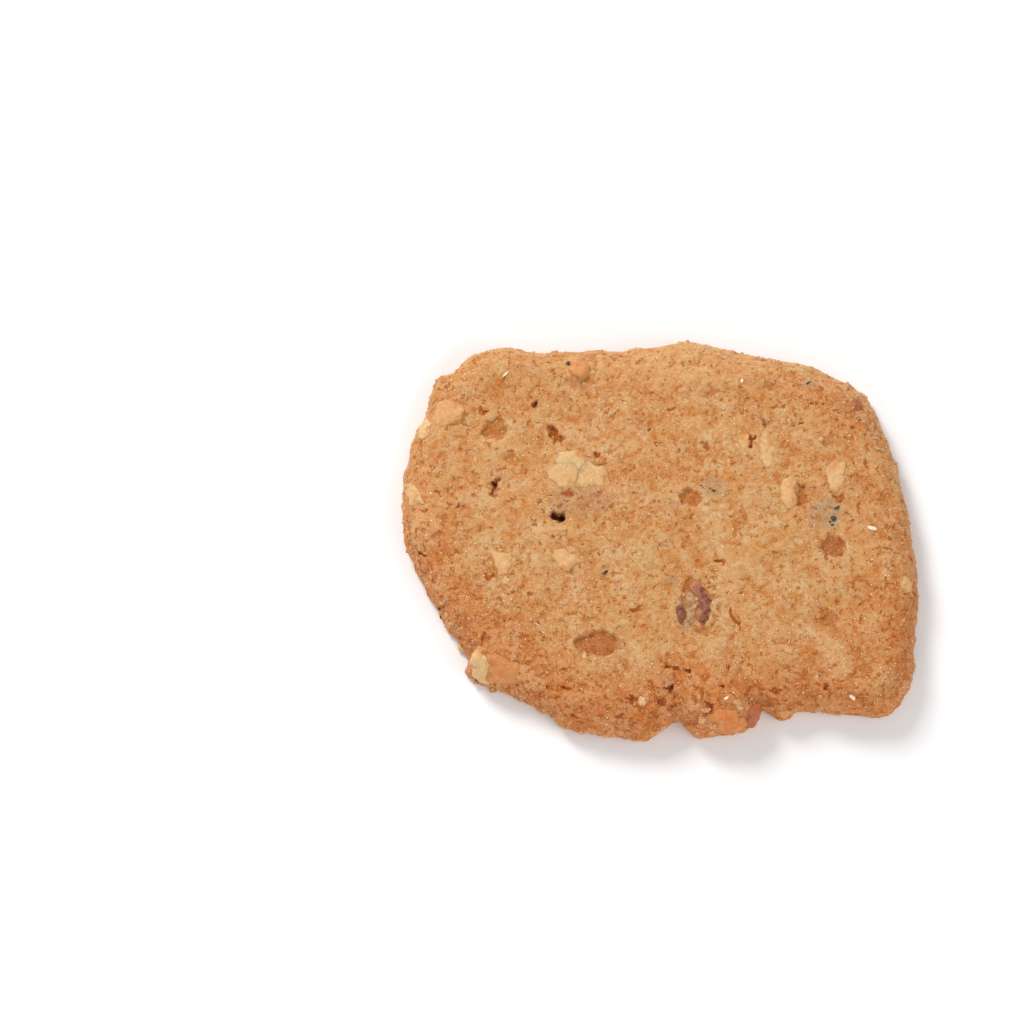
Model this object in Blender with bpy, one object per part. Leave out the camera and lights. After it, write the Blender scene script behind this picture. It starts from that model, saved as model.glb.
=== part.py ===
"""A hazelnut cookie: one baked slab with rounded shoulders, chopped nuts fused in, on a flat base.

Every size and place below is in millimetres, and mesh points become metres where a mesh is made.
X runs along the cookie, Y across it and Z up. The origin is on the base, under the middle.
"""

from collections import namedtuple

import bmesh
import bpy
import numpy as np

METRES = 0.001

LENGTH = 61.8
WIDTH = 49.0
SHOULDER_TOP = 5.7  # height where the rounded side meets the upper face
CROWN = 0.5  # how much higher the middle of the upper face stands
SHOULDER_REACH = 4.8  # how far in from the edge the rounded side reaches
SHOULDER_POWER = 2.2  # 2 is an ellipse, more is squarer
LIP = 0.5  # upright edge just above the base
BASE_INSET = 0.25  # the base is this much smaller than the lip all round

GRID_RINGS = 29  # square rings from the middle of the draped grid to its edge
SIDE_RINGS = 8  # how many of them run down over the shoulder
NUT_DETAIL = 2  # subdivisions of the ball that a nut is made from
BIG_NUT = 4.5  # nuts longer than this get one subdivision more
NUT_CUTS = 3
CUT_LEAN = 2.5  # how far the cuts face up rather than to a side
NUT_SQUARENESS = 5.0  # 2 is a ball, more is a block with rounded edges

# The edge is one smooth closed curve through these places, anticlockwise from the right.
OUTLINE = np.array([
    (30.4, -1.5), (29.2, 4.4), (27.9, 9.8), (26.0, 15.2), (23.6, 18.4), (19.5, 20.1),
    (13.5, 22.1), (8.0, 23.0), (3.0, 23.8), (-4.0, 22.6), (-10.0, 23.1), (-15.2, 22.5),
    (-17.6, 23.1), (-21.4, 22.5), (-24.8, 20.0), (-26.8, 19.1), (-27.8, 15.8), (-29.9, 11.0),
    (-30.9, 5.8), (-30.7, 0.5), (-29.3, -4.2), (-26.6, -9.4), (-23.3, -14.6), (-22.9, -17.3),
    (-17.8, -19.4), (-13.6, -22.0), (-11.5, -23.3), (-5.5, -24.4), (-2.2, -24.8), (1.9, -22.8),
    (4.3, -24.4), (9.3, -23.8), (12.0, -21.4), (14.2, -22.5), (17.0, -21.4), (22.0, -21.7),
    (26.8, -22.0), (29.3, -18.9), (30.5, -13.5), (30.8, -7.0),
])
RAGGED = ((4.0, 0.28, 11), (1.7, 0.16, 12))  # cell, height and seed of the edge's unevenness
SWELL = ((13.0, 0.42, 21), (5.5, 0.30, 22), (2.6, 0.12, 23))  # the same for the upper face

# Along and across are full sizes, turn is in degrees, and rise is the height over the dough.
Bump = namedtuple("Bump", "x y along across turn rise")
COVERED_NUTS = (
    Bump(-28.2, 0.2, 6.0, 4.4, 85, 0.55),
    Bump(20.0, -14.5, 7.4, 3.8, -45, 0.35),
    Bump(14.6, -15.6, 6.0, 3.0, -30, 0.25),
    Bump(26.0, -17.3, 3.4, 3.2, 0, 0.40),
    Bump(-19.6, 10.2, 4.0, 3.2, 30, 0.30),
    Bump(-14.0, -0.1, 3.2, 2.4, 0, 0.20),
    Bump(-16.0, -17.9, 5.0, 3.4, -30, 0.45),
    Bump(-6.9, 21.0, 1.8, 4.2, 0, 0.35),
    Bump(24.6, 14.6, 4.0, 3.4, 40, 0.35),
    Bump(7.6, -20.2, 4.6, 2.6, 10, 0.35),
    Bump(3.5, 12.5, 5.0, 3.4, 15, 0.20),
    Bump(24.5, -3.5, 4.4, 3.4, 60, 0.25),
    Bump(-3.0, 23.2, 4.6, 3.6, 0, 0.50),
    Bump(28.6, 9.0, 4.6, 3.6, 70, 0.35),
    Bump(-22.5, 21.5, 4.4, 3.4, 40, 0.35),
    Bump(-10.0, 7.2, 3.4, 2.6, 0, 0.28),
    Bump(3.5, -8.3, 1.4, 1.8, 0, 0.50),
    Bump(3.3, -10.4, 1.4, 2.4, 0, 0.45),
    Bump(4.1, -11.7, 1.6, 1.4, 0, 0.30),
)
HOLLOWS = (
    Bump(-7.7, -13.8, 5.2, 2.8, 0, -0.42),
    Bump(3.5, 3.8, 2.8, 2.0, -8, -0.42),
    Bump(20.4, -2.0, 2.7, 2.4, 20, -0.38),
    Bump(-12.2, 1.5, 1.7, 1.0, -12, -0.90),
    Bump(-19.7, 5.7, 1.1, 1.6, 0, -0.60),
    Bump(-12.7, 11.9, 1.3, 2.4, 35, -0.40),
    Bump(-19.8, 12.4, 3.0, 2.3, -15, -0.45),
    Bump(4.5, -9.0, 4.4, 6.8, 8, -0.35),
    Bump(16.9, 4.3, 1.6, 2.6, 10, -0.45),
    Bump(19.9, -10.8, 2.6, 2.0, -30, -0.30),
)

# Pieces of chopped nut, bare or in their skin. Corners, about the middle, give the shape seen from
# above; without them it is an ellipse. Proud is how far the highest point stands out of the dough.
Nut = namedtuple("Nut", "x y along across tall turn proud seed corners", defaults=((),))
NUTS = (
    Nut(-10.6, 8.5, 3.5, 2.9, 2.8, 0, 0.45, 1, (
        (-2.0, 0.1), (-1.5, 1.0), (-0.5, 1.3), (0.8, 1.2), (1.9, 0.4), (2.1, -0.7), (1.2, -1.6),
        (0.0, -1.7), (-0.9, -1.3), (-1.7, -0.6),
    )),
    Nut(-8.3, 6.5, 4.4, 4.6, 3.2, 0, 0.45, 21, (
        (-2.2, 1.4), (-1.0, 2.5), (0.2, 2.2), (1.0, 1.6), (1.6, 1.3), (2.3, 0.4), (1.9, -0.7),
        (1.3, -1.6), (0.3, -1.9), (-1.0, -2.5), (-1.9, -1.7), (-2.5, -0.3),
    )),
    Nut(-11.5, 6.5, 3.1, 3.4, 2.6, 0, 0.40, 22, (
        (-2.1, 0.7), (-1.2, 1.5), (-0.1, 1.9), (1.2, 1.7), (1.9, 0.5), (1.7, -0.9), (0.6, -1.6),
        (-0.8, -1.6), (-1.7, -0.6),
    )),
    Nut(-25.4, 14.6, 4.0, 3.8, 3.8, 0, 0.55, 2, (
        (-2.0, -0.8), (-1.7, 0.4), (-1.4, 1.5), (-0.1, 1.8), (1.3, 1.6), (2.0, 0.9), (1.9, 0.0),
        (1.2, -1.0), (0.4, -1.6), (-0.8, -2.1), (-1.7, -2.0),
    )),
    Nut(-28.1, 13.4, 2.2, 3.8, 2.4, -15, 0.20, 23),
    Nut(-29.4, 4.6, 2.4, 3.4, 2.6, 0, 0.35, 3, (
        (-0.6, 1.9), (0.9, 0.5), (1.4, -1.2), (-0.5, -1.5), (-1.1, 0.4),
    )),
    Nut(-18.9, -3.9, 3.2, 3.4, 2.6, 0, 0.30, 4, (
        (-1.7, 1.4), (-1.0, 1.5), (0.4, 1.3), (1.3, 1.3), (1.4, 0.8), (1.3, -0.1), (1.0, -0.9),
        (0.9, -1.4), (0.3, -1.9), (-0.3, -1.8), (-0.6, -1.0), (-1.1, -0.4), (-1.6, 0.5),
    )),
    Nut(-11.1, -4.0, 3.9, 3.0, 2.8, 0, 0.60, 5, (
        (-2.0, 0.7), (-1.9, 1.7), (-0.3, 1.8), (2.3, 0.1), (0.9, -0.6), (0.1, -1.4), (-1.1, -0.9),
    )),
    Nut(-21.7, -16.6, 2.6, 4.1, 3.8, 0, 0.50, 6, (
        (-0.9, 1.7), (-0.1, 2.2), (1.2, 2.1), (1.5, 1.0), (1.4, -0.5), (1.4, -2.2), (0.1, -2.2),
        (-0.8, -1.9), (-1.3, -0.5), (-1.4, 0.6),
    )),
    Nut(-18.4, -17.1, 4.8, 4.0, 3.8, 0, 0.45, 7, (
        (-2.5, 2.1), (-0.7, 2.0), (0.8, 1.4), (2.0, 0.4), (2.4, -0.8), (1.8, -1.9), (0.5, -1.9),
        (-0.9, -1.8), (-2.4, -2.0),
    )),
    Nut(12.8, 9.8, 2.6, 5.6, 2.6, 0, 0.25, 8, (
        (-1.0, 1.9), (-0.5, 2.4), (0.0, 2.8), (0.7, 2.2), (1.2, 1.5), (1.5, 0.8), (1.2, -0.1),
        (0.9, -1.0), (0.6, -2.0), (0.0, -2.8), (-0.8, -2.8), (-1.1, -1.5), (-1.2, 0.0), (-1.2, 1.0),
    )),
    Nut(9.9, 10.9, 1.8, 2.8, 2.0, 0, 0.20, 9, (
        (-0.9, 0.9), (0.9, 1.1), (0.8, 0.0), (0.2, -1.7), (-0.7, -0.6),
    )),
    Nut(15.1, 4.5, 2.6, 4.2, 3.0, 0, 0.50, 10, (
        (-1.2, 0.6), (-0.4, 1.6), (0.6, 2.1), (1.3, 1.6), (0.8, 0.3), (1.2, -1.6), (0.7, -2.0),
        (0.0, -2.0), (-0.9, -1.4), (-1.3, -0.5),
    )),
    Nut(20.9, 6.5, 2.4, 4.2, 2.6, 0, 0.35, 11, (
        (-1.1, 1.3), (-0.2, 1.9), (1.1, 1.9), (1.3, 0.8), (1.0, -0.7), (0.3, -2.2), (-0.8, -1.4),
        (-1.1, 0.0),
    )),
    Nut(-9.6, 20.4, 2.9, 2.5, 2.6, 80, 0.45, 12),
    Nut(29.2, -5.9, 3.0, 2.0, 2.4, 80, 0.15, 14),
    Nut(7.6, -22.8, 5.0, 3.6, 4.2, -18, 0.45, 15),
    Nut(14.7, -21.8, 1.9, 1.5, 1.8, 10, 0.20, 17),
    Nut(10.4, 22.3, 4.2, 3.0, 3.0, 10, 0.20, 18),
)
SKINS = (
    Nut(4.8, -9.0, 3.0, 6.0, 3.0, 0, 0.25, 31, (
        (-1.6, 2.3), (-1.1, 2.8), (-0.5, 3.1), (0.3, 2.7), (0.9, 1.9), (1.3, 0.9), (1.5, 0.1),
        (1.3, -0.9), (0.9, -1.9), (0.1, -3.1), (-0.4, -2.4), (-1.0, -1.4), (-0.8, 0.0),
        (-1.2, 1.1),
    )),
    Nut(2.2, -10.3, 1.2, 2.2, 1.6, 0, 0.30, 32, (
        (-0.6, 0.9), (0.3, 1.1), (0.7, 0.0), (0.2, -1.3), (-0.6, -0.3),
    )),
    Nut(23.7, 15.2, 2.2, 2.5, 2.4, 0, 0.20, 33, (
        (-0.9, 0.9), (0.1, 1.3), (1.1, 0.5), (0.9, -0.8), (-0.1, -1.3), (-0.7, -0.5),
    )),
    Nut(10.5, -21.8, 2.2, 3.2, 3.4, 0, 0.70, 16, (
        (-1.0, 1.0), (0.0, 1.5), (1.1, 1.3), (1.2, 0.2), (0.7, -1.0), (-0.1, -1.6), (-1.0, -1.3),
    )),
)

DOUGH_COLOUR = (0.62, 0.30, 0.12, 1.0)
DOUGH_ROUGHNESS = 0.75

NOISE_TABLE = 4096


def noise(points, cell, seed):
    """Gradient noise, roughly -1 to 1, at points given in millimetres."""
    rng = np.random.default_rng(seed)
    order = rng.permutation(NOISE_TABLE)
    slopes = rng.normal(size=(NOISE_TABLE, 3))
    slopes /= np.linalg.norm(slopes, axis=1)[:, None]
    scaled = points / cell
    base = np.floor(scaled).astype(int)
    part = scaled - base
    fade = part**3 * (part * (part * 6 - 15) + 10)
    total = np.zeros(len(points))
    for corner in np.ndindex(2, 2, 2):
        x, y, z = ((base + corner) % NOISE_TABLE).T
        slope = slopes[order[(order[(order[x] + y) % NOISE_TABLE] + z) % NOISE_TABLE]]
        weight = np.abs(1 - np.array(corner) - fade).prod(1)
        total += weight * (slope * (part - corner)).sum(1)
    return 2 * total


def layered_noise(points, layers):
    return sum(height * noise(points, cell, seed) for cell, height, seed in layers)


def smooth_step(value):
    value = np.clip(value, 0, 1)
    return value * value * (3 - 2 * value)


def edge_curve():
    """Angles and radii of the edge: a closed Catmull-Rom curve, made ragged, and fitted to its box."""
    before, after, later = (np.roll(OUTLINE, shift, axis=0) for shift in (1, -1, -2))
    t = np.linspace(0, 1, 24, endpoint=False)[:, None, None]
    curve = OUTLINE + (after - before) * t / 2
    curve = curve + (2 * before - 5 * OUTLINE + 4 * after - later) * t**2 / 2
    curve = curve + (3 * OUTLINE - before - 3 * after + later) * t**3 / 2
    curve = curve.transpose(1, 0, 2).reshape(-1, 2)
    angle = np.arctan2(curve[:, 1], curve[:, 0])
    radius = np.hypot(*curve.T)
    on_base = np.column_stack((curve, np.zeros(len(curve))))
    radius = radius + layered_noise(on_base, RAGGED)
    x, y = radius * np.cos(angle), radius * np.sin(angle)
    x = (x - (x.max() + x.min()) / 2) * LENGTH / np.ptp(x)
    y = (y - (y.max() + y.min()) / 2) * WIDTH / np.ptp(y)
    return np.arctan2(y, x), np.hypot(x, y)


EDGE_ANGLE, EDGE_RADIUS = edge_curve()


def edge_radius(angle):
    return np.interp(angle, EDGE_ANGLE, EDGE_RADIUS, period=2 * np.pi)


def height(x, y):
    """The upper surface without its relief: a crowned face and a superelliptic shoulder."""
    radius = edge_radius(np.arctan2(y, x))
    inset = np.clip(radius - np.hypot(x, y), 0, None)
    outward = np.clip(1 - inset / SHOULDER_REACH, 0, 1)
    shoulder = (1 - outward**SHOULDER_POWER) ** (1 / SHOULDER_POWER)
    inward = np.clip(1 - np.hypot(x, y) / (radius - SHOULDER_REACH), 0, 1)
    return LIP + (SHOULDER_TOP - LIP) * shoulder + CROWN * (1 - (1 - inward) ** 2)


def surface_frame(x, y, turn):
    """The surface point over x, y, and a matrix whose columns are along, across and outward there."""
    step = 0.3
    point = np.array((x, y, float(height(x, y))))
    slope_x = (height(x + step, y) - height(x - step, y)) / (2 * step)
    slope_y = (height(x, y + step) - height(x, y - step)) / (2 * step)
    normal = np.array((-slope_x, -slope_y, 1.0))
    normal /= np.linalg.norm(normal)
    heading = np.array((np.cos(np.radians(turn)), np.sin(np.radians(turn)), 0.0))
    along = heading - normal * (heading @ normal)
    along /= np.linalg.norm(along)
    return point, np.column_stack((along, np.cross(normal, along), normal))


def distance_from(bump, points):
    """Distance from a bump's middle, as a share of its half sizes, on the surface around it."""
    middle, axes = surface_frame(bump.x, bump.y, bump.turn)
    local = (points - middle) @ axes
    reach = (bump.along / 2, bump.across / 2, 3.0)
    return np.linalg.norm(local / reach, axis=1)


def relief(points):
    """How far each point of the upper surface moves along its normal."""
    total = layered_noise(points, SWELL)
    for bump in COVERED_NUTS:
        total += bump.rise * np.clip(1 - distance_from(bump, points) ** 2, 0, 1) ** 1.5
    for bump in HOLLOWS:
        total += bump.rise * smooth_step((1.1 - distance_from(bump, points)) / 0.6)
    return total * smooth_step(points[:, 2] / 2.0)


def draped_places(steps):
    """Where each point of a square grid, -1 to 1 both ways, lies on the smooth upper surface."""
    u, v = np.meshgrid(steps, steps)
    ring = np.maximum(np.abs(u), np.abs(v)).ravel()
    angle = np.arctan2(v.ravel() * WIDTH, u.ravel() * LENGTH)
    radius = edge_radius(angle)
    flat_share = 1 - SIDE_RINGS / GRID_RINGS
    down = np.clip((ring - flat_share) / (1 - flat_share), 0, 1) * np.pi / 2
    outward = np.sin(down) ** (2 / SHOULDER_POWER)
    distance = np.where(
        ring <= flat_share,
        (radius - SHOULDER_REACH) * ring / flat_share,
        radius - SHOULDER_REACH * (1 - outward),
    )
    x, y = distance * np.cos(angle), distance * np.sin(angle)
    return np.column_stack((x, y, height(x, y)))


def object_from(mesh, name, collection):
    data = bpy.data.meshes.new(name)
    mesh.to_mesh(data)
    mesh.free()
    result = bpy.data.objects.new(name, data)
    collection.objects.link(result)
    return result


def make_dough(collection):
    """A square grid draped over the cookie's form, closed by an upright lip and a flat base."""
    mesh = bmesh.new()
    bmesh.ops.create_grid(mesh, x_segments=2 * GRID_RINGS, y_segments=2 * GRID_RINGS, size=1)
    flat = np.array([vertex.co for vertex in mesh.verts])
    steps = np.linspace(-1, 1, 2 * GRID_RINGS + 1)
    places = draped_places(steps)
    order = np.rint((flat[:, 1] + 1) * GRID_RINGS) * len(steps) + np.rint((flat[:, 0] + 1) * GRID_RINGS)
    places = places[order.astype(int)]
    for vertex, place in zip(mesh.verts, places):
        vertex.co = place
    mesh.normal_update()
    normals = np.array([vertex.normal for vertex in mesh.verts])
    moved = places + normals * relief(places)[:, None]
    for vertex, place in zip(mesh.verts, moved):
        vertex.co = place * METRES
    rim = [edge for edge in mesh.edges if edge.is_boundary]
    grown = bmesh.ops.extrude_edge_only(mesh, edges=rim)["geom"]
    for vertex in (item for item in grown if isinstance(item, bmesh.types.BMVert)):
        reach = np.hypot(vertex.co.x, vertex.co.y)
        vertex.co.xy *= 1 - BASE_INSET * METRES / reach
        vertex.co.z = 0
    foot = [edge for edge in mesh.edges if edge.is_boundary]
    bmesh.ops.contextual_create(mesh, geom=foot)
    bmesh.ops.recalc_face_normals(mesh, faces=mesh.faces)
    return object_from(mesh, "cookie", collection)


def plan_radius(nut, angle):
    """How far a nut's side is from its middle in each direction, seen from above."""
    if not nut.corners:
        along, across = np.cos(angle) / (nut.along / 2), np.sin(angle) / (nut.across / 2)
        return 1 / np.hypot(along, across)
    corners = np.array(nut.corners)
    t = np.linspace(0, 1, 24, endpoint=False)[:, None, None]
    sides = (corners * (1 - t) + np.roll(corners, -1, axis=0) * t).reshape(-1, 2)
    bearing = np.arctan2(sides[:, 1], sides[:, 0])
    return np.interp(angle, bearing, np.hypot(*sides.T), period=2 * np.pi)


def chunk(nut, points):
    """Points of a ball, moved to a nut's form: squarish, with a few flat cuts, and as wide as its plan."""
    rng = np.random.default_rng(nut.seed)
    bearing = np.arctan2(points[:, 1], points[:, 0])
    level = np.hypot(points[:, 0], points[:, 1])
    power = NUT_SQUARENESS
    shape = points * ((level**power + np.abs(points[:, 2]) ** power) ** (-1 / power))[:, None]
    for _ in range(NUT_CUTS):
        facing = rng.normal(size=3) + (0, 0, CUT_LEAN)
        facing /= np.linalg.norm(facing)
        past = np.clip(shape @ facing - rng.uniform(1.02, 1.14), 0, None)
        shape -= past[:, None] * facing
    wide = plan_radius(nut, bearing)
    return shape * np.column_stack((wide, wide, np.full(len(points), nut.tall / 2)))


def make_nut(nut, collection):
    """A nut's form, sunk into the dough at its place."""
    mesh = bmesh.new()
    detail = NUT_DETAIL + (max(nut.along, nut.across) > BIG_NUT)
    bmesh.ops.create_icosphere(mesh, subdivisions=detail, radius=1)
    points = chunk(nut, np.array([vertex.co for vertex in mesh.verts]))
    place, axes = surface_frame(nut.x, nut.y, nut.turn)
    raised = place + axes[:, 2] * relief(place[None])[0]
    middle = raised + axes[:, 2] * (nut.proud - points[:, 2].max())
    points = middle + points @ axes.T
    points[:, 2] = np.maximum(points[:, 2], 0.3)
    for vertex, point in zip(mesh.verts, points):
        vertex.co = point * METRES
    return object_from(mesh, f"nut_{nut.seed:02d}", collection)


def fuse(body, pieces):
    """Joins a collection of pieces to the body with one Boolean union, and removes the pieces."""
    union = body.modifiers.new("fuse nuts", "BOOLEAN")
    union.operand_type = "COLLECTION"
    union.collection = pieces
    union.operation = "UNION"
    union.solver = "EXACT"
    with bpy.context.temp_override(object=body, active_object=body):
        bpy.ops.object.modifier_apply(modifier=union.name)
    for piece in list(pieces.objects):
        bpy.data.objects.remove(piece)
    bpy.data.collections.remove(pieces)


def dough_material():
    material = bpy.data.materials.new("baked dough")
    material.use_nodes = True
    shader = material.node_tree.nodes["Principled BSDF"]
    shader.inputs["Base Color"].default_value = DOUGH_COLOUR
    shader.inputs["Roughness"].default_value = DOUGH_ROUGHNESS
    shader.inputs["Metallic"].default_value = 0
    return material


def main():
    for item in list(bpy.data.objects):
        bpy.data.objects.remove(item)
    parts = bpy.data.collections.new("Hazelnut cookie")
    pieces = bpy.data.collections.new("Nut pieces")
    for collection in (parts, pieces):
        bpy.context.scene.collection.children.link(collection)
    cookie = make_dough(parts)
    cookie.data.materials.append(dough_material())
    for nut in NUTS + SKINS:
        make_nut(nut, pieces)
    fuse(cookie, pieces)
    cookie.data.shade_smooth()
    cookie.data.set_sharp_from_angle(angle=np.radians(40))


main()
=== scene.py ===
"""The looks of a hazelnut cookie: its dough at fine scale, its nuts, skins, specks, sugar and crumbs.

Sizes and places are in millimetres, as in the part's own source, and become metres where a mesh
is made. X runs along the cookie, Y across it and Z up.
"""

from collections import namedtuple

import bmesh
import bpy
import numpy as np
from mathutils import Euler, Matrix, Vector


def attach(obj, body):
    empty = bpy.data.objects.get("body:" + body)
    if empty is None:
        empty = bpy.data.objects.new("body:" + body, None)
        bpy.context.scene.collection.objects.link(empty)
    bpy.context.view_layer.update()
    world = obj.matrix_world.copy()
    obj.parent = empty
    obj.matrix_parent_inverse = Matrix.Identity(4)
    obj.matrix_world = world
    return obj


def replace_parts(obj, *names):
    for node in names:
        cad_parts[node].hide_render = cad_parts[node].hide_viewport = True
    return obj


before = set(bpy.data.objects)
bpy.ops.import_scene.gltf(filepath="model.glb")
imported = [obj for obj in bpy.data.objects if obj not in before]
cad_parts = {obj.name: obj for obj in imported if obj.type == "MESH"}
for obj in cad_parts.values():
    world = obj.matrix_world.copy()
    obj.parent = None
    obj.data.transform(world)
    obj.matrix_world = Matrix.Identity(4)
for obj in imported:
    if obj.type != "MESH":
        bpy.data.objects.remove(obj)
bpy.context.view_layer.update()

METRES = 0.001
BODY = "root"
NODE = "cookie"

# ---- the form, with the same values as the solid's own source ----

LENGTH = 61.8
WIDTH = 49.0
SHOULDER_TOP = 5.7
CROWN = 0.5
SHOULDER_REACH = 4.8
SHOULDER_POWER = 2.2
LIP = 0.5
BASE_INSET = 0.25
SIDE_SHARE = 8 / 29  # share of the draped grid's rings that run down over the shoulder

OUTLINE = np.array([
    (30.4, -1.5), (29.2, 4.4), (27.9, 9.8), (26.0, 15.2), (23.6, 18.4), (19.5, 20.1),
    (13.5, 22.1), (8.0, 23.0), (3.0, 23.8), (-4.0, 22.6), (-10.0, 23.1), (-15.2, 22.5),
    (-17.6, 23.1), (-21.4, 22.5), (-24.8, 20.0), (-26.8, 19.1), (-27.8, 15.8), (-29.9, 11.0),
    (-30.9, 5.8), (-30.7, 0.5), (-29.3, -4.2), (-26.6, -9.4), (-23.3, -14.6), (-22.9, -17.3),
    (-17.8, -19.4), (-13.6, -22.0), (-11.5, -23.3), (-5.5, -24.4), (-2.2, -24.8), (1.9, -22.8),
    (4.3, -24.4), (9.3, -23.8), (12.0, -21.4), (14.2, -22.5), (17.0, -21.4), (22.0, -21.7),
    (26.8, -22.0), (29.3, -18.9), (30.5, -13.5), (30.8, -7.0),
])
RAGGED = ((4.0, 0.28, 11), (1.7, 0.16, 12))
SWELL = ((13.0, 0.42, 21), (5.5, 0.30, 22), (2.6, 0.12, 23))

Bump = namedtuple("Bump", "x y along across turn rise")
COVERED_NUTS = (
    Bump(-28.2, 0.2, 6.0, 4.4, 85, 0.55),
    Bump(20.0, -14.5, 7.4, 3.8, -45, 0.35),
    Bump(14.6, -15.6, 6.0, 3.0, -30, 0.25),
    Bump(26.0, -17.3, 3.4, 3.2, 0, 0.40),
    Bump(-19.6, 10.2, 4.0, 3.2, 30, 0.30),
    Bump(-14.0, -0.1, 3.2, 2.4, 0, 0.20),
    Bump(-16.0, -17.9, 5.0, 3.4, -30, 0.45),
    Bump(-6.9, 21.0, 1.8, 4.2, 0, 0.35),
    Bump(24.6, 14.6, 4.0, 3.4, 40, 0.35),
    Bump(7.6, -20.2, 4.6, 2.6, 10, 0.35),
    Bump(3.5, 12.5, 5.0, 3.4, 15, 0.20),
    Bump(24.5, -3.5, 4.4, 3.4, 60, 0.25),
    Bump(-3.0, 23.2, 4.6, 3.6, 0, 0.50),
    Bump(28.6, 9.0, 4.6, 3.6, 70, 0.35),
    Bump(-22.5, 21.5, 4.4, 3.4, 40, 0.35),
    Bump(-10.0, 7.2, 3.4, 2.6, 0, 0.28),
    Bump(3.5, -8.3, 1.4, 1.8, 0, 0.50),
    Bump(3.3, -10.4, 1.4, 2.4, 0, 0.45),
    Bump(4.1, -11.7, 1.6, 1.4, 0, 0.30),
)
HOLLOWS = (
    Bump(-7.7, -13.8, 5.2, 2.8, 0, -0.42),
    Bump(3.5, 3.8, 2.8, 2.0, -8, -0.42),
    Bump(20.4, -2.0, 2.7, 2.4, 20, -0.38),
    Bump(-12.2, 1.5, 1.7, 1.0, -12, -0.90),
    Bump(-19.7, 5.7, 1.1, 1.6, 0, -0.60),
    Bump(-12.7, 11.9, 1.3, 2.4, 35, -0.40),
    Bump(-19.8, 12.4, 3.0, 2.3, -15, -0.45),
    Bump(4.5, -9.0, 4.4, 6.8, 8, -0.35),
    Bump(16.9, 4.3, 1.6, 2.6, 10, -0.45),
    Bump(19.9, -10.8, 2.6, 2.0, -30, -0.30),
)

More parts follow.
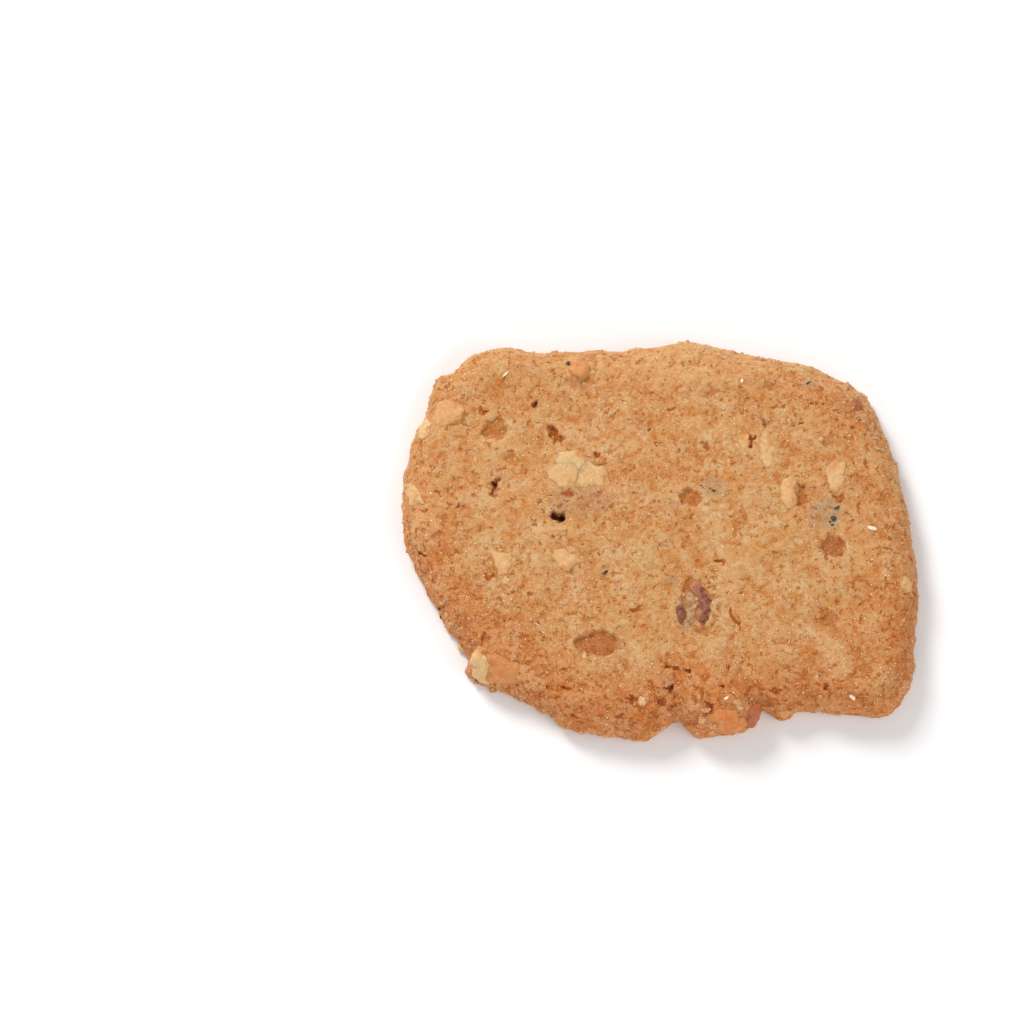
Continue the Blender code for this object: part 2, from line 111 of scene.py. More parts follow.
# Corners, about a nut's middle, give its shape seen from above; without them it is an ellipse.
# Toast is how brown it has baked.
Nut = namedtuple("Nut", "x y along across tall turn proud seed toast corners", defaults=((),))
NUTS = (
    Nut(-10.6, 8.5, 3.5, 2.9, 2.8, 0, 0.45, 1, 0.05, (
        (-2.0, 0.1), (-1.5, 1.0), (-0.5, 1.3), (0.8, 1.2), (1.9, 0.4), (2.1, -0.7), (1.2, -1.6),
        (0.0, -1.7), (-0.9, -1.3), (-1.7, -0.6),
    )),
    Nut(-8.3, 6.5, 4.4, 4.6, 3.2, 0, 0.45, 21, 0.12, (
        (-2.2, 1.4), (-1.0, 2.5), (0.2, 2.2), (1.0, 1.6), (1.6, 1.3), (2.3, 0.4), (1.9, -0.7),
        (1.3, -1.6), (0.3, -1.9), (-1.0, -2.5), (-1.9, -1.7), (-2.5, -0.3),
    )),
    Nut(-11.5, 6.5, 3.1, 3.4, 2.6, 0, 0.40, 22, 0.2, (
        (-2.1, 0.7), (-1.2, 1.5), (-0.1, 1.9), (1.2, 1.7), (1.9, 0.5), (1.7, -0.9), (0.6, -1.6),
        (-0.8, -1.6), (-1.7, -0.6),
    )),
    Nut(-25.4, 14.6, 4.0, 3.8, 3.8, 0, 0.55, 2, 0.38, (
        (-2.0, -0.8), (-1.7, 0.4), (-1.4, 1.5), (-0.1, 1.8), (1.3, 1.6), (2.0, 0.9), (1.9, 0.0),
        (1.2, -1.0), (0.4, -1.6), (-0.8, -2.1), (-1.7, -2.0),
    )),
    Nut(-28.1, 13.4, 2.2, 3.8, 2.4, -15, 0.20, 23, 0.0),
    Nut(-29.4, 4.6, 2.4, 3.4, 2.6, 0, 0.35, 3, 0.1, (
        (-0.6, 1.9), (0.9, 0.5), (1.4, -1.2), (-0.5, -1.5), (-1.1, 0.4),
    )),
    Nut(-18.9, -3.9, 3.2, 3.4, 2.6, 0, 0.30, 4, 0.2, (
        (-1.7, 1.4), (-1.0, 1.5), (0.4, 1.3), (1.3, 1.3), (1.4, 0.8), (1.3, -0.1), (1.0, -0.9),
        (0.9, -1.4), (0.3, -1.9), (-0.3, -1.8), (-0.6, -1.0), (-1.1, -0.4), (-1.6, 0.5),
    )),
    Nut(-11.1, -4.0, 3.9, 3.0, 2.8, 0, 0.60, 5, 0.22, (
        (-2.0, 0.7), (-1.9, 1.7), (-0.3, 1.8), (2.3, 0.1), (0.9, -0.6), (0.1, -1.4), (-1.1, -0.9),
    )),
    Nut(-21.7, -16.6, 2.6, 4.1, 3.8, 0, 0.50, 6, 0.0, (
        (-0.9, 1.7), (-0.1, 2.2), (1.2, 2.1), (1.5, 1.0), (1.4, -0.5), (1.4, -2.2), (0.1, -2.2),
        (-0.8, -1.9), (-1.3, -0.5), (-1.4, 0.6),
    )),
    Nut(-18.4, -17.1, 4.8, 4.0, 3.8, 0, 0.45, 7, 0.9, (
        (-2.5, 2.1), (-0.7, 2.0), (0.8, 1.4), (2.0, 0.4), (2.4, -0.8), (1.8, -1.9), (0.5, -1.9),
        (-0.9, -1.8), (-2.4, -2.0),
    )),
    Nut(12.8, 9.8, 2.6, 5.6, 2.6, 0, 0.25, 8, 0.0, (
        (-1.0, 1.9), (-0.5, 2.4), (0.0, 2.8), (0.7, 2.2), (1.2, 1.5), (1.5, 0.8), (1.2, -0.1),
        (0.9, -1.0), (0.6, -2.0), (0.0, -2.8), (-0.8, -2.8), (-1.1, -1.5), (-1.2, 0.0), (-1.2, 1.0),
    )),
    Nut(9.9, 10.9, 1.8, 2.8, 2.0, 0, 0.20, 9, 0.1, (
        (-0.9, 0.9), (0.9, 1.1), (0.8, 0.0), (0.2, -1.7), (-0.7, -0.6),
    )),
    Nut(15.1, 4.5, 2.6, 4.2, 3.0, 0, 0.50, 10, 0.2, (
        (-1.2, 0.6), (-0.4, 1.6), (0.6, 2.1), (1.3, 1.6), (0.8, 0.3), (1.2, -1.6), (0.7, -2.0),
        (0.0, -2.0), (-0.9, -1.4), (-1.3, -0.5),
    )),
    Nut(20.9, 6.5, 2.4, 4.2, 2.6, 0, 0.35, 11, 0.1, (
        (-1.1, 1.3), (-0.2, 1.9), (1.1, 1.9), (1.3, 0.8), (1.0, -0.7), (0.3, -2.2), (-0.8, -1.4),
        (-1.1, 0.0),
    )),
    Nut(-9.6, 20.4, 2.9, 2.5, 2.6, 80, 0.45, 12, 0.75),
    Nut(29.2, -5.9, 3.0, 2.0, 2.4, 80, 0.15, 14, 0.0),
    Nut(7.6, -22.8, 5.0, 3.6, 4.2, -18, 0.45, 15, 1.0),
    Nut(14.7, -21.8, 1.9, 1.5, 1.8, 10, 0.20, 17, 0.3),
    Nut(10.4, 22.3, 4.2, 3.0, 3.0, 10, 0.20, 18, 0.1),
)
SKINS = (
    Nut(4.8, -9.0, 3.0, 6.0, 3.0, 0, 0.25, 31, 0.0, (
        (-1.6, 2.3), (-1.1, 2.8), (-0.5, 3.1), (0.3, 2.7), (0.9, 1.9), (1.3, 0.9), (1.5, 0.1),
        (1.3, -0.9), (0.9, -1.9), (0.1, -3.1), (-0.4, -2.4), (-1.0, -1.4), (-0.8, 0.0),
        (-1.2, 1.1),
    )),
    Nut(2.2, -10.3, 1.2, 2.2, 1.6, 0, 0.30, 32, 0.0, (
        (-0.6, 0.9), (0.3, 1.1), (0.7, 0.0), (0.2, -1.3), (-0.6, -0.3),
    )),
    Nut(23.7, 15.2, 2.2, 2.5, 2.4, 0, 0.20, 33, 0.6, (
        (-0.9, 0.9), (0.1, 1.3), (1.1, 0.5), (0.9, -0.8), (-0.1, -1.3), (-0.7, -0.5),
    )),
    Nut(10.5, -21.8, 2.2, 3.2, 3.4, 0, 0.70, 16, 1.0, (
        (-1.0, 1.0), (0.0, 1.5), (1.1, 1.3), (1.2, 0.2), (0.7, -1.0), (-0.1, -1.6), (-1.0, -1.3),
    )),
)
NUT_CUTS = 3
CUT_PLACES = (1.02, 1.14)  # how far out the flat cuts lie, as shares of a half size
CUT_LEAN = 2.5  # how far the cuts face up rather than to a side
NUT_ROUGHNESS = ((1.6, 0.10), (0.8, 0.09), (0.4, 0.05))  # cell and height
NUT_RAGGEDNESS = 1.8  # how much more a nut's sides are roughened than its top
NUT_SQUARENESS = 5.0  # 2 is a ball, more is a block with rounded edges

# ---- what the solid is too coarse for ----

TOP_RINGS = 144
BASE_RINGS = 48
RIM_STEP = TOP_RINGS // BASE_RINGS
HOLLOW_EDGE = 0.14  # how sharp a hollow's edge is, as a share of its half size
FRINGE = ((0.9, 0.16, 13), (0.45, 0.12, 14))  # crumbling of the lowest edge
FRINGE_HEIGHT = 1.5
LOWEST_EDGE = 0.25  # the upper surface ends at least this high
GRAIN = ((1.6, 0.08, 41), (0.8, 0.09, 42), (0.45, 0.05, 43))
BASE_GRAIN = ((3.0, 0.06, 51), (1.1, 0.08, 52), (0.7, 0.05, 53))
BASE_HOLE_CELL, BASE_HOLE_RADIUS, BASE_HOLE_DEPTH = 2.4, 0.26, 0.35
GRANULE_CELL, GRANULE_GAP, GRANULE_DEPTH = 1.1, 0.15, 0.06
PIT_CELL, PIT_RADIUS, PIT_DEPTH, PIT_SHARE = 1.2, 0.20, 0.14, 0.20
COLLAR_WIDTH, COLLAR_RISE = 0.28, 0.11  # the dough drawn up against a bare nut
CAVITY_REACH = 5  # rings over which a point is compared with its neighbourhood
CAVITY_HEIGHT = 0.12

# Named pits and cracks of the upper face; tint says how dark red-brown the inside is painted, as painted
# shade in the pit.
Pit = namedtuple("Pit", "x y along across turn depth tint")
PITS = (
    Pit(-12.2, 1.6, 1.5, 1.0, -12, 0.28, 1.5), Pit(-19.8, 5.7, 0.7, 1.2, 5, 0.28, 0.9),
    Pit(-15.0, 15.4, 0.8, 1.0, 40, 0.39, 0.8), Pit(-12.7, 12.3, 1.0, 1.2, 35, 0.28, 0.5),
    Pit(-12.1, 11.2, 0.8, 0.9, 35, 0.22, 0.4), Pit(-7.6, 9.2, 0.7, 0.8, 0, 0.28, 0.6),
    Pit(-21.1, 14.8, 1.1, 0.4, 5, 0.22, 0.5), Pit(11.0, 11.0, 0.9, 1.5, -15, 0.39, 0.5),
    Pit(1.3, -16.6, 1.7, 0.6, 8, 0.28, 0.6), Pit(3.1, -17.1, 1.0, 0.5, -20, 0.28, 0.7),
    Pit(0.9, -19.1, 0.6, 0.8, 30, 0.22, 0.8), Pit(7.0, -19.0, 0.6, 0.4, 20, 0.28, 1.0),
    Pit(8.1, -16.6, 0.4, 0.7, -20, 0.28, 0.7), Pit(5.6, -21.4, 0.9, 1.2, 20, 0.33, 0.7),
    Pit(1.1, -21.2, 1.3, 0.6, 15, 0.22, 0.5), Pit(8.5, -10.8, 0.4, 2.6, 25, 0.22, 0.5),
    Pit(6.9, -3.9, 1.3, 0.8, -30, 0.28, 0.5), Pit(9.6, -7.4, 0.8, 0.6, -40, 0.17, 0.2),
    Pit(23.3, -9.1, 1.0, 0.6, 20, 0.22, 0.4), Pit(29.2, -7.2, 0.5, 0.9, 0, 0.22, 0.4),
    Pit(13.3, -19.4, 1.9, 0.7, -15, 0.17, 0.4), Pit(19.3, -19.1, 0.6, 0.8, 30, 0.22, 0.7),
    Pit(23.0, 12.9, 0.7, 0.5, -30, 0.28, 0.6), Pit(17.0, 13.0, 0.4, 0.4, 0, 0.22, 0.6),
    Pit(18.6, 15.5, 2.4, 0.35, 8, 0.22, 0.5), Pit(14.2, 15.1, 2.4, 0.3, -4, 0.17, 0.3),
    Pit(5.5, 10.4, 0.9, 0.7, -20, 0.17, 0.3), Pit(1.5, 15.0, 1.5, 0.6, 10, 0.22, 0.4),
    Pit(12.6, 13.0, 1.5, 0.5, -10, 0.22, 0.2), Pit(21.6, 3.8, 1.1, 0.9, -30, 0.22, 0.3),
    Pit(9.8, 1.8, 0.9, 0.9, 0, 0.17, 0.2), Pit(24.5, 8.4, 0.5, 1.6, 0, 0.22, 0.3),
    Pit(-18.6, 7.8, 0.6, 0.5, 20, 0.22, 0.4), Pit(-11.1, 4.5, 1.0, 0.8, 30, 0.17, 0.4),
    Pit(-26.4, 4.4, 1.2, 0.5, -20, 0.22, 0.4), Pit(-23.9, 3.0, 1.1, 0.4, 10, 0.22, 0.4),
    Pit(-28.0, 2.4, 0.9, 0.5, 0, 0.22, 0.5), Pit(-1.0, 12.4, 0.7, 0.7, 40, 0.22, 0.4),
    Pit(-21.2, -13.2, 0.9, 2.1, -20, 0.15, 0.25), Pit(-11.7, -17.0, 1.1, 0.5, 30, 0.22, 0.5),
    Pit(-11.5, -19.2, 1.5, 0.6, -25, 0.28, 0.6), Pit(-3.6, -20.4, 1.1, 0.8, 10, 0.25, 0.7),
    Pit(-0.2, -20.9, 0.7, 0.5, 0, 0.22, 0.6), Pit(-13.6, -19.2, 0.8, 0.6, 20, 0.22, 0.5),
    Pit(-3.1, -9.6, 1.3, 0.5, 15, 0.17, 0.4), Pit(-20.3, -5.8, 0.9, 0.7, -40, 0.22, 0.4),
    Pit(-17.5, -7.4, 0.9, 0.7, 20, 0.22, 0.3), Pit(-10.0, -22.3, 0.9, 0.4, 0, 0.17, 0.5),
    Pit(-5.1, -22.2, 1.0, 0.6, 20, 0.17, 0.5), Pit(-28.4, -2.7, 1.8, 0.4, 5, 0.28, 0.6),
)
# Where the colour drifts from the dough's own, by stains, painted shade and painted light: amount is how
# far, the key says to what.
StainAndShade = namedtuple("StainAndShade", "x y along across turn amount")
STAINS_AND_SHADE = {
    "grey": (
        StainAndShade(19.6, 1.9, 3.6, 3.4, 30, 0.75), StainAndShade(6.3, 5.2, 3.2, 2.2, -10, 0.55),
        StainAndShade(1.4, -6.3, 1.2, 1.4, 0, 0.7), StainAndShade(18.2, 18.2, 1.6, 0.7, 25, 0.8),
        StainAndShade(20.5, 11.2, 1.6, 1.2, 0, 0.3), StainAndShade(-9.5, 3.4, 7.0, 3.6, 0, 0.45),
        StainAndShade(3.2, -9.8, 2.4, 4.8, 0, 0.8), StainAndShade(28.6, 15.0, 3.0, 5.0, 0, 0.4),
        StainAndShade(0.9, -18.8, 1.5, 1.8, 0, 0.5),
    ),
    # Painted shade: the brown patches sit on the floors of the hollows and beside nut pieces, drawn darker
    # as shaded places look.
    "brown": (
        StainAndShade(-7.7, -13.8, 5.0, 2.7, 0, 0.9), StainAndShade(3.5, 3.8, 2.7, 1.9, -8, 0.3),
        StainAndShade(20.4, -2.0, 2.6, 2.3, 20, 1.0), StainAndShade(-19.8, 12.4, 2.8, 2.1, -15, 0.55),
        StainAndShade(19.9, -10.8, 2.2, 1.6, -30, 0.45), StainAndShade(16.9, 4.3, 1.4, 2.4, 10, 0.5),
        StainAndShade(22.2, 15.6, 2.2, 2.6, 0, 0.5), StainAndShade(-9.3, 18.6, 2.6, 1.4, 0, 0.5),
    ),
    "pale": (
        StainAndShade(-28.2, 0.2, 5.4, 3.8, 85, 0.6), StainAndShade(20.0, -14.5, 6.4, 3.0, -45, 0.35),
        StainAndShade(26.0, -17.3, 2.8, 2.6, 0, 0.35), StainAndShade(-19.6, 10.2, 3.6, 2.9, 30, 0.55),
        StainAndShade(-14.0, -0.1, 3.0, 2.2, 0, 0.7), StainAndShade(-15.6, -17.9, 4.4, 2.8, -30, 0.75),
        StainAndShade(11.4, 9.6, 2.6, 4.6, 10, 0.4), StainAndShade(14.6, -15.6, 5.0, 2.2, -30, 0.2),
        StainAndShade(3.5, 12.5, 4.4, 2.8, 15, 0.3), StainAndShade(-9.8, 7.2, 5.4, 3.6, 0, 0.9),
        # The long pale band along the +Y edge is partly the dough's own paler colour and partly painted
        # light, where more light falls on that side.
        StainAndShade(1.0, 20.6, 26.0, 5.0, 0, 0.65), StainAndShade(24.5, -3.5, 3.6, 2.8, 60, 0.25),
    ),
}


NOISE_TABLE = 4096
CURVE_STEPS = 24  # points on each stretch of an outline


def lattice_entry(order, corner):
    x, y, z = (corner % NOISE_TABLE).T
    return order[(order[(order[x] + y) % NOISE_TABLE] + z) % NOISE_TABLE]


def noise(points, cell, seed):
    """Gradient noise, roughly -1 to 1, at points given in millimetres."""
    rng = np.random.default_rng(seed)
    order = rng.permutation(NOISE_TABLE)
    slopes = rng.normal(size=(NOISE_TABLE, 3))
    slopes /= np.linalg.norm(slopes, axis=1)[:, None]
    scaled = points / cell
    base = np.floor(scaled).astype(int)
    part = scaled - base
    fade = part**3 * (part * (part * 6 - 15) + 10)
    total = np.zeros(len(points))
    for corner in np.ndindex(2, 2, 2):
        slope = slopes[lattice_entry(order, base + corner)]
        weight = np.abs(1 - np.array(corner) - fade).prod(1)
        total += weight * (slope * (part - corner)).sum(1)
    return 2 * total


def layered_noise(points, layers):
    return sum(height * noise(points, cell, seed) for cell, height, seed in layers)


def warp(points, cell, amount, seed):
    return points + amount * np.column_stack([noise(points, cell, seed + i) for i in range(3)])


def nearest_two(points, cell, seed):
    """Distances, in cells, to the two nearest of spots strewn one to a cell, and the nearest's lot."""
    rng = np.random.default_rng(seed)
    order = rng.permutation(NOISE_TABLE)
    spots = rng.uniform(size=(NOISE_TABLE, 3))
    lots = rng.uniform(size=NOISE_TABLE)
    scaled = points / cell
    base = np.floor(scaled).astype(int)
    first = np.full(len(points), 9.0)
    second = np.full(len(points), 9.0)
    lot = np.zeros(len(points))
    for step in np.ndindex(3, 3, 3):
        corner = base + step - np.ones(3, int)
        entry = lattice_entry(order, corner)
        away = np.linalg.norm(corner + spots[entry] - scaled, axis=1)
        nearer = away < first
        second = np.where(nearer, first, np.minimum(second, away))
        lot = np.where(nearer, lots[entry], lot)
        first = np.where(nearer, away, first)
    return first, second, lot


def smooth_step(value):
    value = np.clip(value, 0, 1)
    return value * value * (3 - 2 * value)


def edge_curve():
    """Angles and radii of the edge: a closed Catmull-Rom curve, made ragged, and fitted to its box."""
    before, after, later = (np.roll(OUTLINE, shift, axis=0) for shift in (1, -1, -2))
    t = np.linspace(0, 1, CURVE_STEPS, endpoint=False)[:, None, None]
    curve = OUTLINE + (after - before) * t / 2
    curve = curve + (2 * before - 5 * OUTLINE + 4 * after - later) * t**2 / 2
    curve = curve + (3 * OUTLINE - before - 3 * after + later) * t**3 / 2
    curve = curve.transpose(1, 0, 2).reshape(-1, 2)
    angle = np.arctan2(curve[:, 1], curve[:, 0])
    radius = np.hypot(*curve.T)
    on_base = np.column_stack((curve, np.zeros(len(curve))))
    radius = radius + layered_noise(on_base, RAGGED)
    x, y = radius * np.cos(angle), radius * np.sin(angle)
    x = (x - (x.max() + x.min()) / 2) * LENGTH / np.ptp(x)
    y = (y - (y.max() + y.min()) / 2) * WIDTH / np.ptp(y)
    return np.arctan2(y, x), np.hypot(x, y)


EDGE_ANGLE, EDGE_RADIUS = edge_curve()


def edge_radius(angle):
    return np.interp(angle, EDGE_ANGLE, EDGE_RADIUS, period=2 * np.pi)


def height(x, y):
    """The upper surface without its relief: a crowned face and a superelliptic shoulder."""
    radius = edge_radius(np.arctan2(y, x))
    inset = np.clip(radius - np.hypot(x, y), 0, None)
    outward = np.clip(1 - inset / SHOULDER_REACH, 0, 1)
    shoulder = (1 - outward**SHOULDER_POWER) ** (1 / SHOULDER_POWER)
    inward = np.clip(1 - np.hypot(x, y) / (radius - SHOULDER_REACH), 0, 1)
    return LIP + (SHOULDER_TOP - LIP) * shoulder + CROWN * (1 - (1 - inward) ** 2)


def surface_frame(x, y, turn):
    """The surface point over x, y, and a matrix whose columns are along, across and outward there."""
    step = 0.3
    point = np.array((x, y, float(height(x, y))))
    slope_x = (height(x + step, y) - height(x - step, y)) / (2 * step)
    slope_y = (height(x, y + step) - height(x, y - step)) / (2 * step)
    normal = np.array((-slope_x, -slope_y, 1.0))
    normal /= np.linalg.norm(normal)
    heading = np.array((np.cos(np.radians(turn)), np.sin(np.radians(turn)), 0.0))
    along = heading - normal * (heading @ normal)
    along /= np.linalg.norm(along)
    return point, np.column_stack((along, np.cross(normal, along), normal))


def distance_from(spot, points, reach=3.0):
    """Distance from a spot's middle, as a share of its half sizes, on the surface around it."""
    middle, axes = surface_frame(spot.x, spot.y, spot.turn)
    local = (points - middle) @ axes
    return np.linalg.norm(local / (spot.along / 2, spot.across / 2, reach), axis=1)


def main_relief(points):
    """How far each point of the upper surface moves along its normal: the forms of the solid."""
    total = layered_noise(points, SWELL)
    for bump in COVERED_NUTS:
        total += bump.rise * np.clip(1 - distance_from(bump, points) ** 2, 0, 1) ** 1.5
    ragged = warp(warp(points, 1.2, 0.6, 31), 0.5, 0.25, 34)
    for bump in HOLLOWS:
        total += bump.rise * smooth_step((1.1 - distance_from(bump, ragged)) / HOLLOW_EDGE)
    return total * smooth_step(points[:, 2] / 2.0)


def plan_radius(nut, angle):
    """How far a nut's side is from its middle in each direction, seen from above."""
    if not nut.corners:
        across, along = np.sin(angle) / (nut.across / 2), np.cos(angle) / (nut.along / 2)
        return 1 / np.hypot(along, across)
    corners = np.array(nut.corners)
    t = np.linspace(0, 1, CURVE_STEPS, endpoint=False)[:, None, None]
    sides = (corners * (1 - t) + np.roll(corners, -1, axis=0) * t).reshape(-1, 2)
    bearing = np.arctan2(sides[:, 1], sides[:, 0])
    return np.interp(angle, bearing, np.hypot(*sides.T), period=2 * np.pi)


# ---- the dough ----


def draped_places(rings):
    """Where each point of a square grid lies on the smooth upper surface, row by row."""
    steps = np.linspace(-1, 1, 2 * rings + 1)
    u, v = np.meshgrid(steps, steps)
    ring = np.maximum(np.abs(u), np.abs(v)).ravel()
    angle = np.arctan2(v.ravel() * WIDTH, u.ravel() * LENGTH)
    radius = edge_radius(angle)
    flat_share = 1 - SIDE_SHARE
    down = np.clip((ring - flat_share) / SIDE_SHARE, 0, 1) * np.pi / 2
    outward = np.sin(down) ** (2 / SHOULDER_POWER)
    distance = np.where(
        ring <= flat_share,
        (radius - SHOULDER_REACH) * ring / flat_share,
        radius - SHOULDER_REACH * (1 - outward),
    )
    x, y = distance * np.cos(angle), distance * np.sin(angle)
    return np.column_stack((x, y, height(x, y))), ring, angle


def grid_normals(places, side):
    grid = places.reshape(side, side, 3)
    across, along = np.gradient(grid, axis=0), np.gradient(grid, axis=1)
    normals = np.cross(along, across).reshape(-1, 3)
    return normals / np.linalg.norm(normals, axis=1)[:, None]


def blurred(values, side, reach):
    """A box blur over a square grid, run twice each way."""
    grid = values.reshape(side, side)
    kernel = np.ones(2 * reach + 1) / (2 * reach + 1)
    for axis in (0, 1, 0, 1):
        padded = np.pad(grid, [(reach, reach) if axis == i else (0, 0) for i in (0, 1)], "edge")
        grid = np.apply_along_axis(np.convolve, axis, padded, kernel, "valid")
    return grid.ravel()


def outward_push(angle, places):
    """Crumbling of the lowest edge, fading out up the side."""
    return layered_noise(places, FRINGE) * smooth_step(1 - places[:, 2] / FRINGE_HEIGHT)


def granules(points):
    """How near a crease between sandy granules each point is, how far a granule's side, and its lot."""
    bent = warp(warp(points, 1.2, 0.25, 61), 0.5, 0.12, 67)
    first, second, lot = nearest_two(bent, GRANULE_CELL, 64)
    crease = smooth_step(1 - (second - first) / GRANULE_GAP)
    round_off = 1 - np.clip((second - first) / 0.5, 0, 1) ** 0.5
    patchy = smooth_step(0.55 + 0.9 * noise(points, 3.5, 65))
    return crease * patchy, round_off, lot


def small_pits(points):
    """Short ragged pits, strewn at random. It returns their relief and how far in each point is."""
    bent = warp(points * (1, 1, 0.6), 0.7, 0.3, 71)
    first, _, lot = nearest_two(bent, PIT_CELL, 74)
    radius = PIT_RADIUS * (0.35 + 0.65 * lot / PIT_SHARE)
    inside = smooth_step((radius - first) / 0.10) * (lot < PIT_SHARE)
    return -PIT_DEPTH * inside, inside


def named_pits(points):
    relief = np.zeros(len(points))
    tint = np.zeros(len(points))
    ragged = warp(warp(points, 0.9, 0.4, 81), 0.45, 0.2, 84)
    for pit in PITS:
        away = distance_from(pit, ragged, 2.0)
        relief -= pit.depth * smooth_step((1.15 - away) / 0.3)
        tint = np.maximum(tint, pit.tint * smooth_step((1.25 - away) / 0.3))
    return relief, tint


def collars(points):
    """How far the dough is drawn up against each bare nut, 0 to 1."""
    near = np.zeros(len(points))
    for nut in NUTS + SKINS:
        middle, axes = surface_frame(nut.x, nut.y, nut.turn)
        local = (points - middle) @ axes
        bearing = np.arctan2(local[:, 1], local[:, 0])
        gap = np.hypot(local[:, 0], local[:, 1]) - plan_radius(nut, bearing)
        here = np.exp(-((gap / COLLAR_WIDTH) ** 2)) * (np.abs(local[:, 2]) < 2.5)
        near = np.maximum(near, here)
    return near * smooth_step(0.6 + noise(points, 1.5, 87))


def stains_and_shade(points):
    """How far the colour drifts towards each kind: the stains, and the painted shade and light."""
    ragged = warp(points, 0.9, 0.35, 91)
    amounts = {}
    for kind, spots in STAINS_AND_SHADE.items():
        inside = [spot.amount * smooth_step((1.25 - distance_from(spot, ragged)) / 0.35) for spot in spots]
        amounts[kind] = np.max(inside, axis=0)
    return amounts


def upper_surface():
    """Places, normals and colour attributes of the upper surface's grid."""
    side = 2 * TOP_RINGS + 1
    smooth, ring, angle = draped_places(TOP_RINGS)
    normals = grid_normals(smooth, side)
    pit_relief, pitted = small_pits(smooth)
    named_relief, tint = named_pits(smooth)
    crease, round_off, lot = granules(smooth)
    fine = layered_noise(smooth, GRAIN) + pit_relief + named_relief
    fine += COLLAR_RISE * collars(smooth) - GRANULE_DEPTH * (crease + round_off)
    fine *= smooth_step(smooth[:, 2] / 0.8)
    relief = main_relief(smooth) + fine
    places = smooth + normals * relief[:, None]
    push = outward_push(angle, smooth)
    places[:, 0] += push * np.cos(angle)
    places[:, 1] += push * np.sin(angle)
    places[:, 2] = np.maximum(places[:, 2], LOWEST_EDGE)
    # cavity: how far a point stands above or below its neighbourhood; the dough's colour turns it into
    # painted shade, darker and more orange in hollows.
    cavity = np.clip((relief - blurred(relief, side, CAVITY_REACH)) / CAVITY_HEIGHT, -1.5, 1.5)
    attributes = {"cavity": cavity, "tint": tint, "pitted": pitted, "crease": crease, "lot": lot}
    attributes |= stains_and_shade(smooth)
    # Browning: real near the rim and stronger towards the -Y side; the -Y darkening is partly real uneven
    # baking and partly painted shade, the +Y side being where more light falls.
    edge_browning_and_shade = smooth_step((ring - 0.45) / 0.5) * (0.75 - 0.6 * smooth[:, 1] / (WIDTH / 2))
    attributes["browning_and_shade"] = np.clip(edge_browning_and_shade + 0.25 * noise(smooth, 9.0, 95), 0, 1)
    return places, grid_normals(places, side), attributes


def lower_surface():
    """Places and attributes of the flat underside, whose grid ends on the same edge."""
    _, ring, angle = draped_places(BASE_RINGS)
    radius = edge_radius(angle)
    places = np.column_stack((ring * radius * np.cos(angle), ring * radius * np.sin(angle), 0 * ring))
    at_edge = np.column_stack((radius * np.cos(angle), radius * np.sin(angle), 0 * ring + LIP))
    pull = (outward_push(angle, at_edge) - BASE_INSET) * smooth_step((ring - 0.9) / 0.1)
    places[:, 0] += pull * np.cos(angle)
    places[:, 1] += pull * np.sin(angle)
    rough = layered_noise(places, BASE_GRAIN)
    first, _, lot = nearest_two(warp(places, 1.0, 0.3, 101), BASE_HOLE_CELL, 104)
    hole = smooth_step((BASE_HOLE_RADIUS * lot - first) / 0.08)
    fade = smooth_step((1 - ring) / 0.03)
    places[:, 2] = (np.clip(rough, 0, None) + BASE_HOLE_DEPTH * hole) * fade
    # The underside's low places and holes count as cavity, which the colour turns into painted shade.
    cavity = -np.clip(rough / CAVITY_HEIGHT, -1, 1) - hole
    attributes = {"cavity": cavity, "browning_and_shade": 0.75 + 0.25 * noise(places, 7.0, 105), "pitted": hole}
    return places, attributes


def grid_faces(side, start):
    rows, columns = np.meshgrid(np.arange(side - 1), np.arange(side - 1), indexing="ij")
    corner = (start + rows * side + columns).ravel()
    return np.column_stack((corner, corner + 1, corner + side + 1, corner + side))


def rim_indices(side, start):
    """The outer points of a square grid, anticlockwise from its first corner."""
    edge = np.arange(side - 1)
    return start + np.concatenate(
        (edge, edge * side + side - 1, side * side - 1 - edge, (side - 1 - edge) * side)
    )


def strip_faces(upper_rim, lower_rim):
    """Triangles between the upper grid's rim and the coarser rim of the underside."""
    faces = []
    count = len(upper_rim)
    for i, low in enumerate(lower_rim):
        first = i * RIM_STEP
        tops = [upper_rim[(first + step) % count] for step in range(RIM_STEP + 1)]
        faces += [(a, low, b) for a, b in zip(tops, tops[1:])]
        faces.append((tops[-1], low, lower_rim[(i + 1) % len(lower_rim)]))
    return faces


def dough_mesh():
    """One closed mesh with its colour attributes and an even map for baking."""
    top, top_normals, top_attributes = upper_surface()
    base, base_attributes = lower_surface()
    top_side, base_side = 2 * TOP_RINGS + 1, 2 * BASE_RINGS + 1
    upper = grid_faces(top_side, 0)
    lower = grid_faces(base_side, len(top))[:, ::-1]
    strip = strip_faces(rim_indices(top_side, 0), rim_indices(base_side, len(top)))
    mesh = bpy.data.meshes.new("dough")
    points = np.vstack((top, base)) * METRES
    mesh.from_pydata(points.tolist(), [], upper.tolist() + lower.tolist() + strip)
    for name in ("cavity", "tint", "pitted", "crease", "lot", "browning_and_shade", *STAINS_AND_SHADE):
        zero = np.zeros(len(base))
        values = np.concatenate((top_attributes[name], base_attributes.get(name, zero)))
        layer = mesh.attributes.new(name, "FLOAT", "POINT")
        layer.data.foreach_set("value", values.astype(np.float32))
    map_evenly(mesh, top_side, base_side)
    mesh.shade_smooth()
    return mesh, top, top_normals


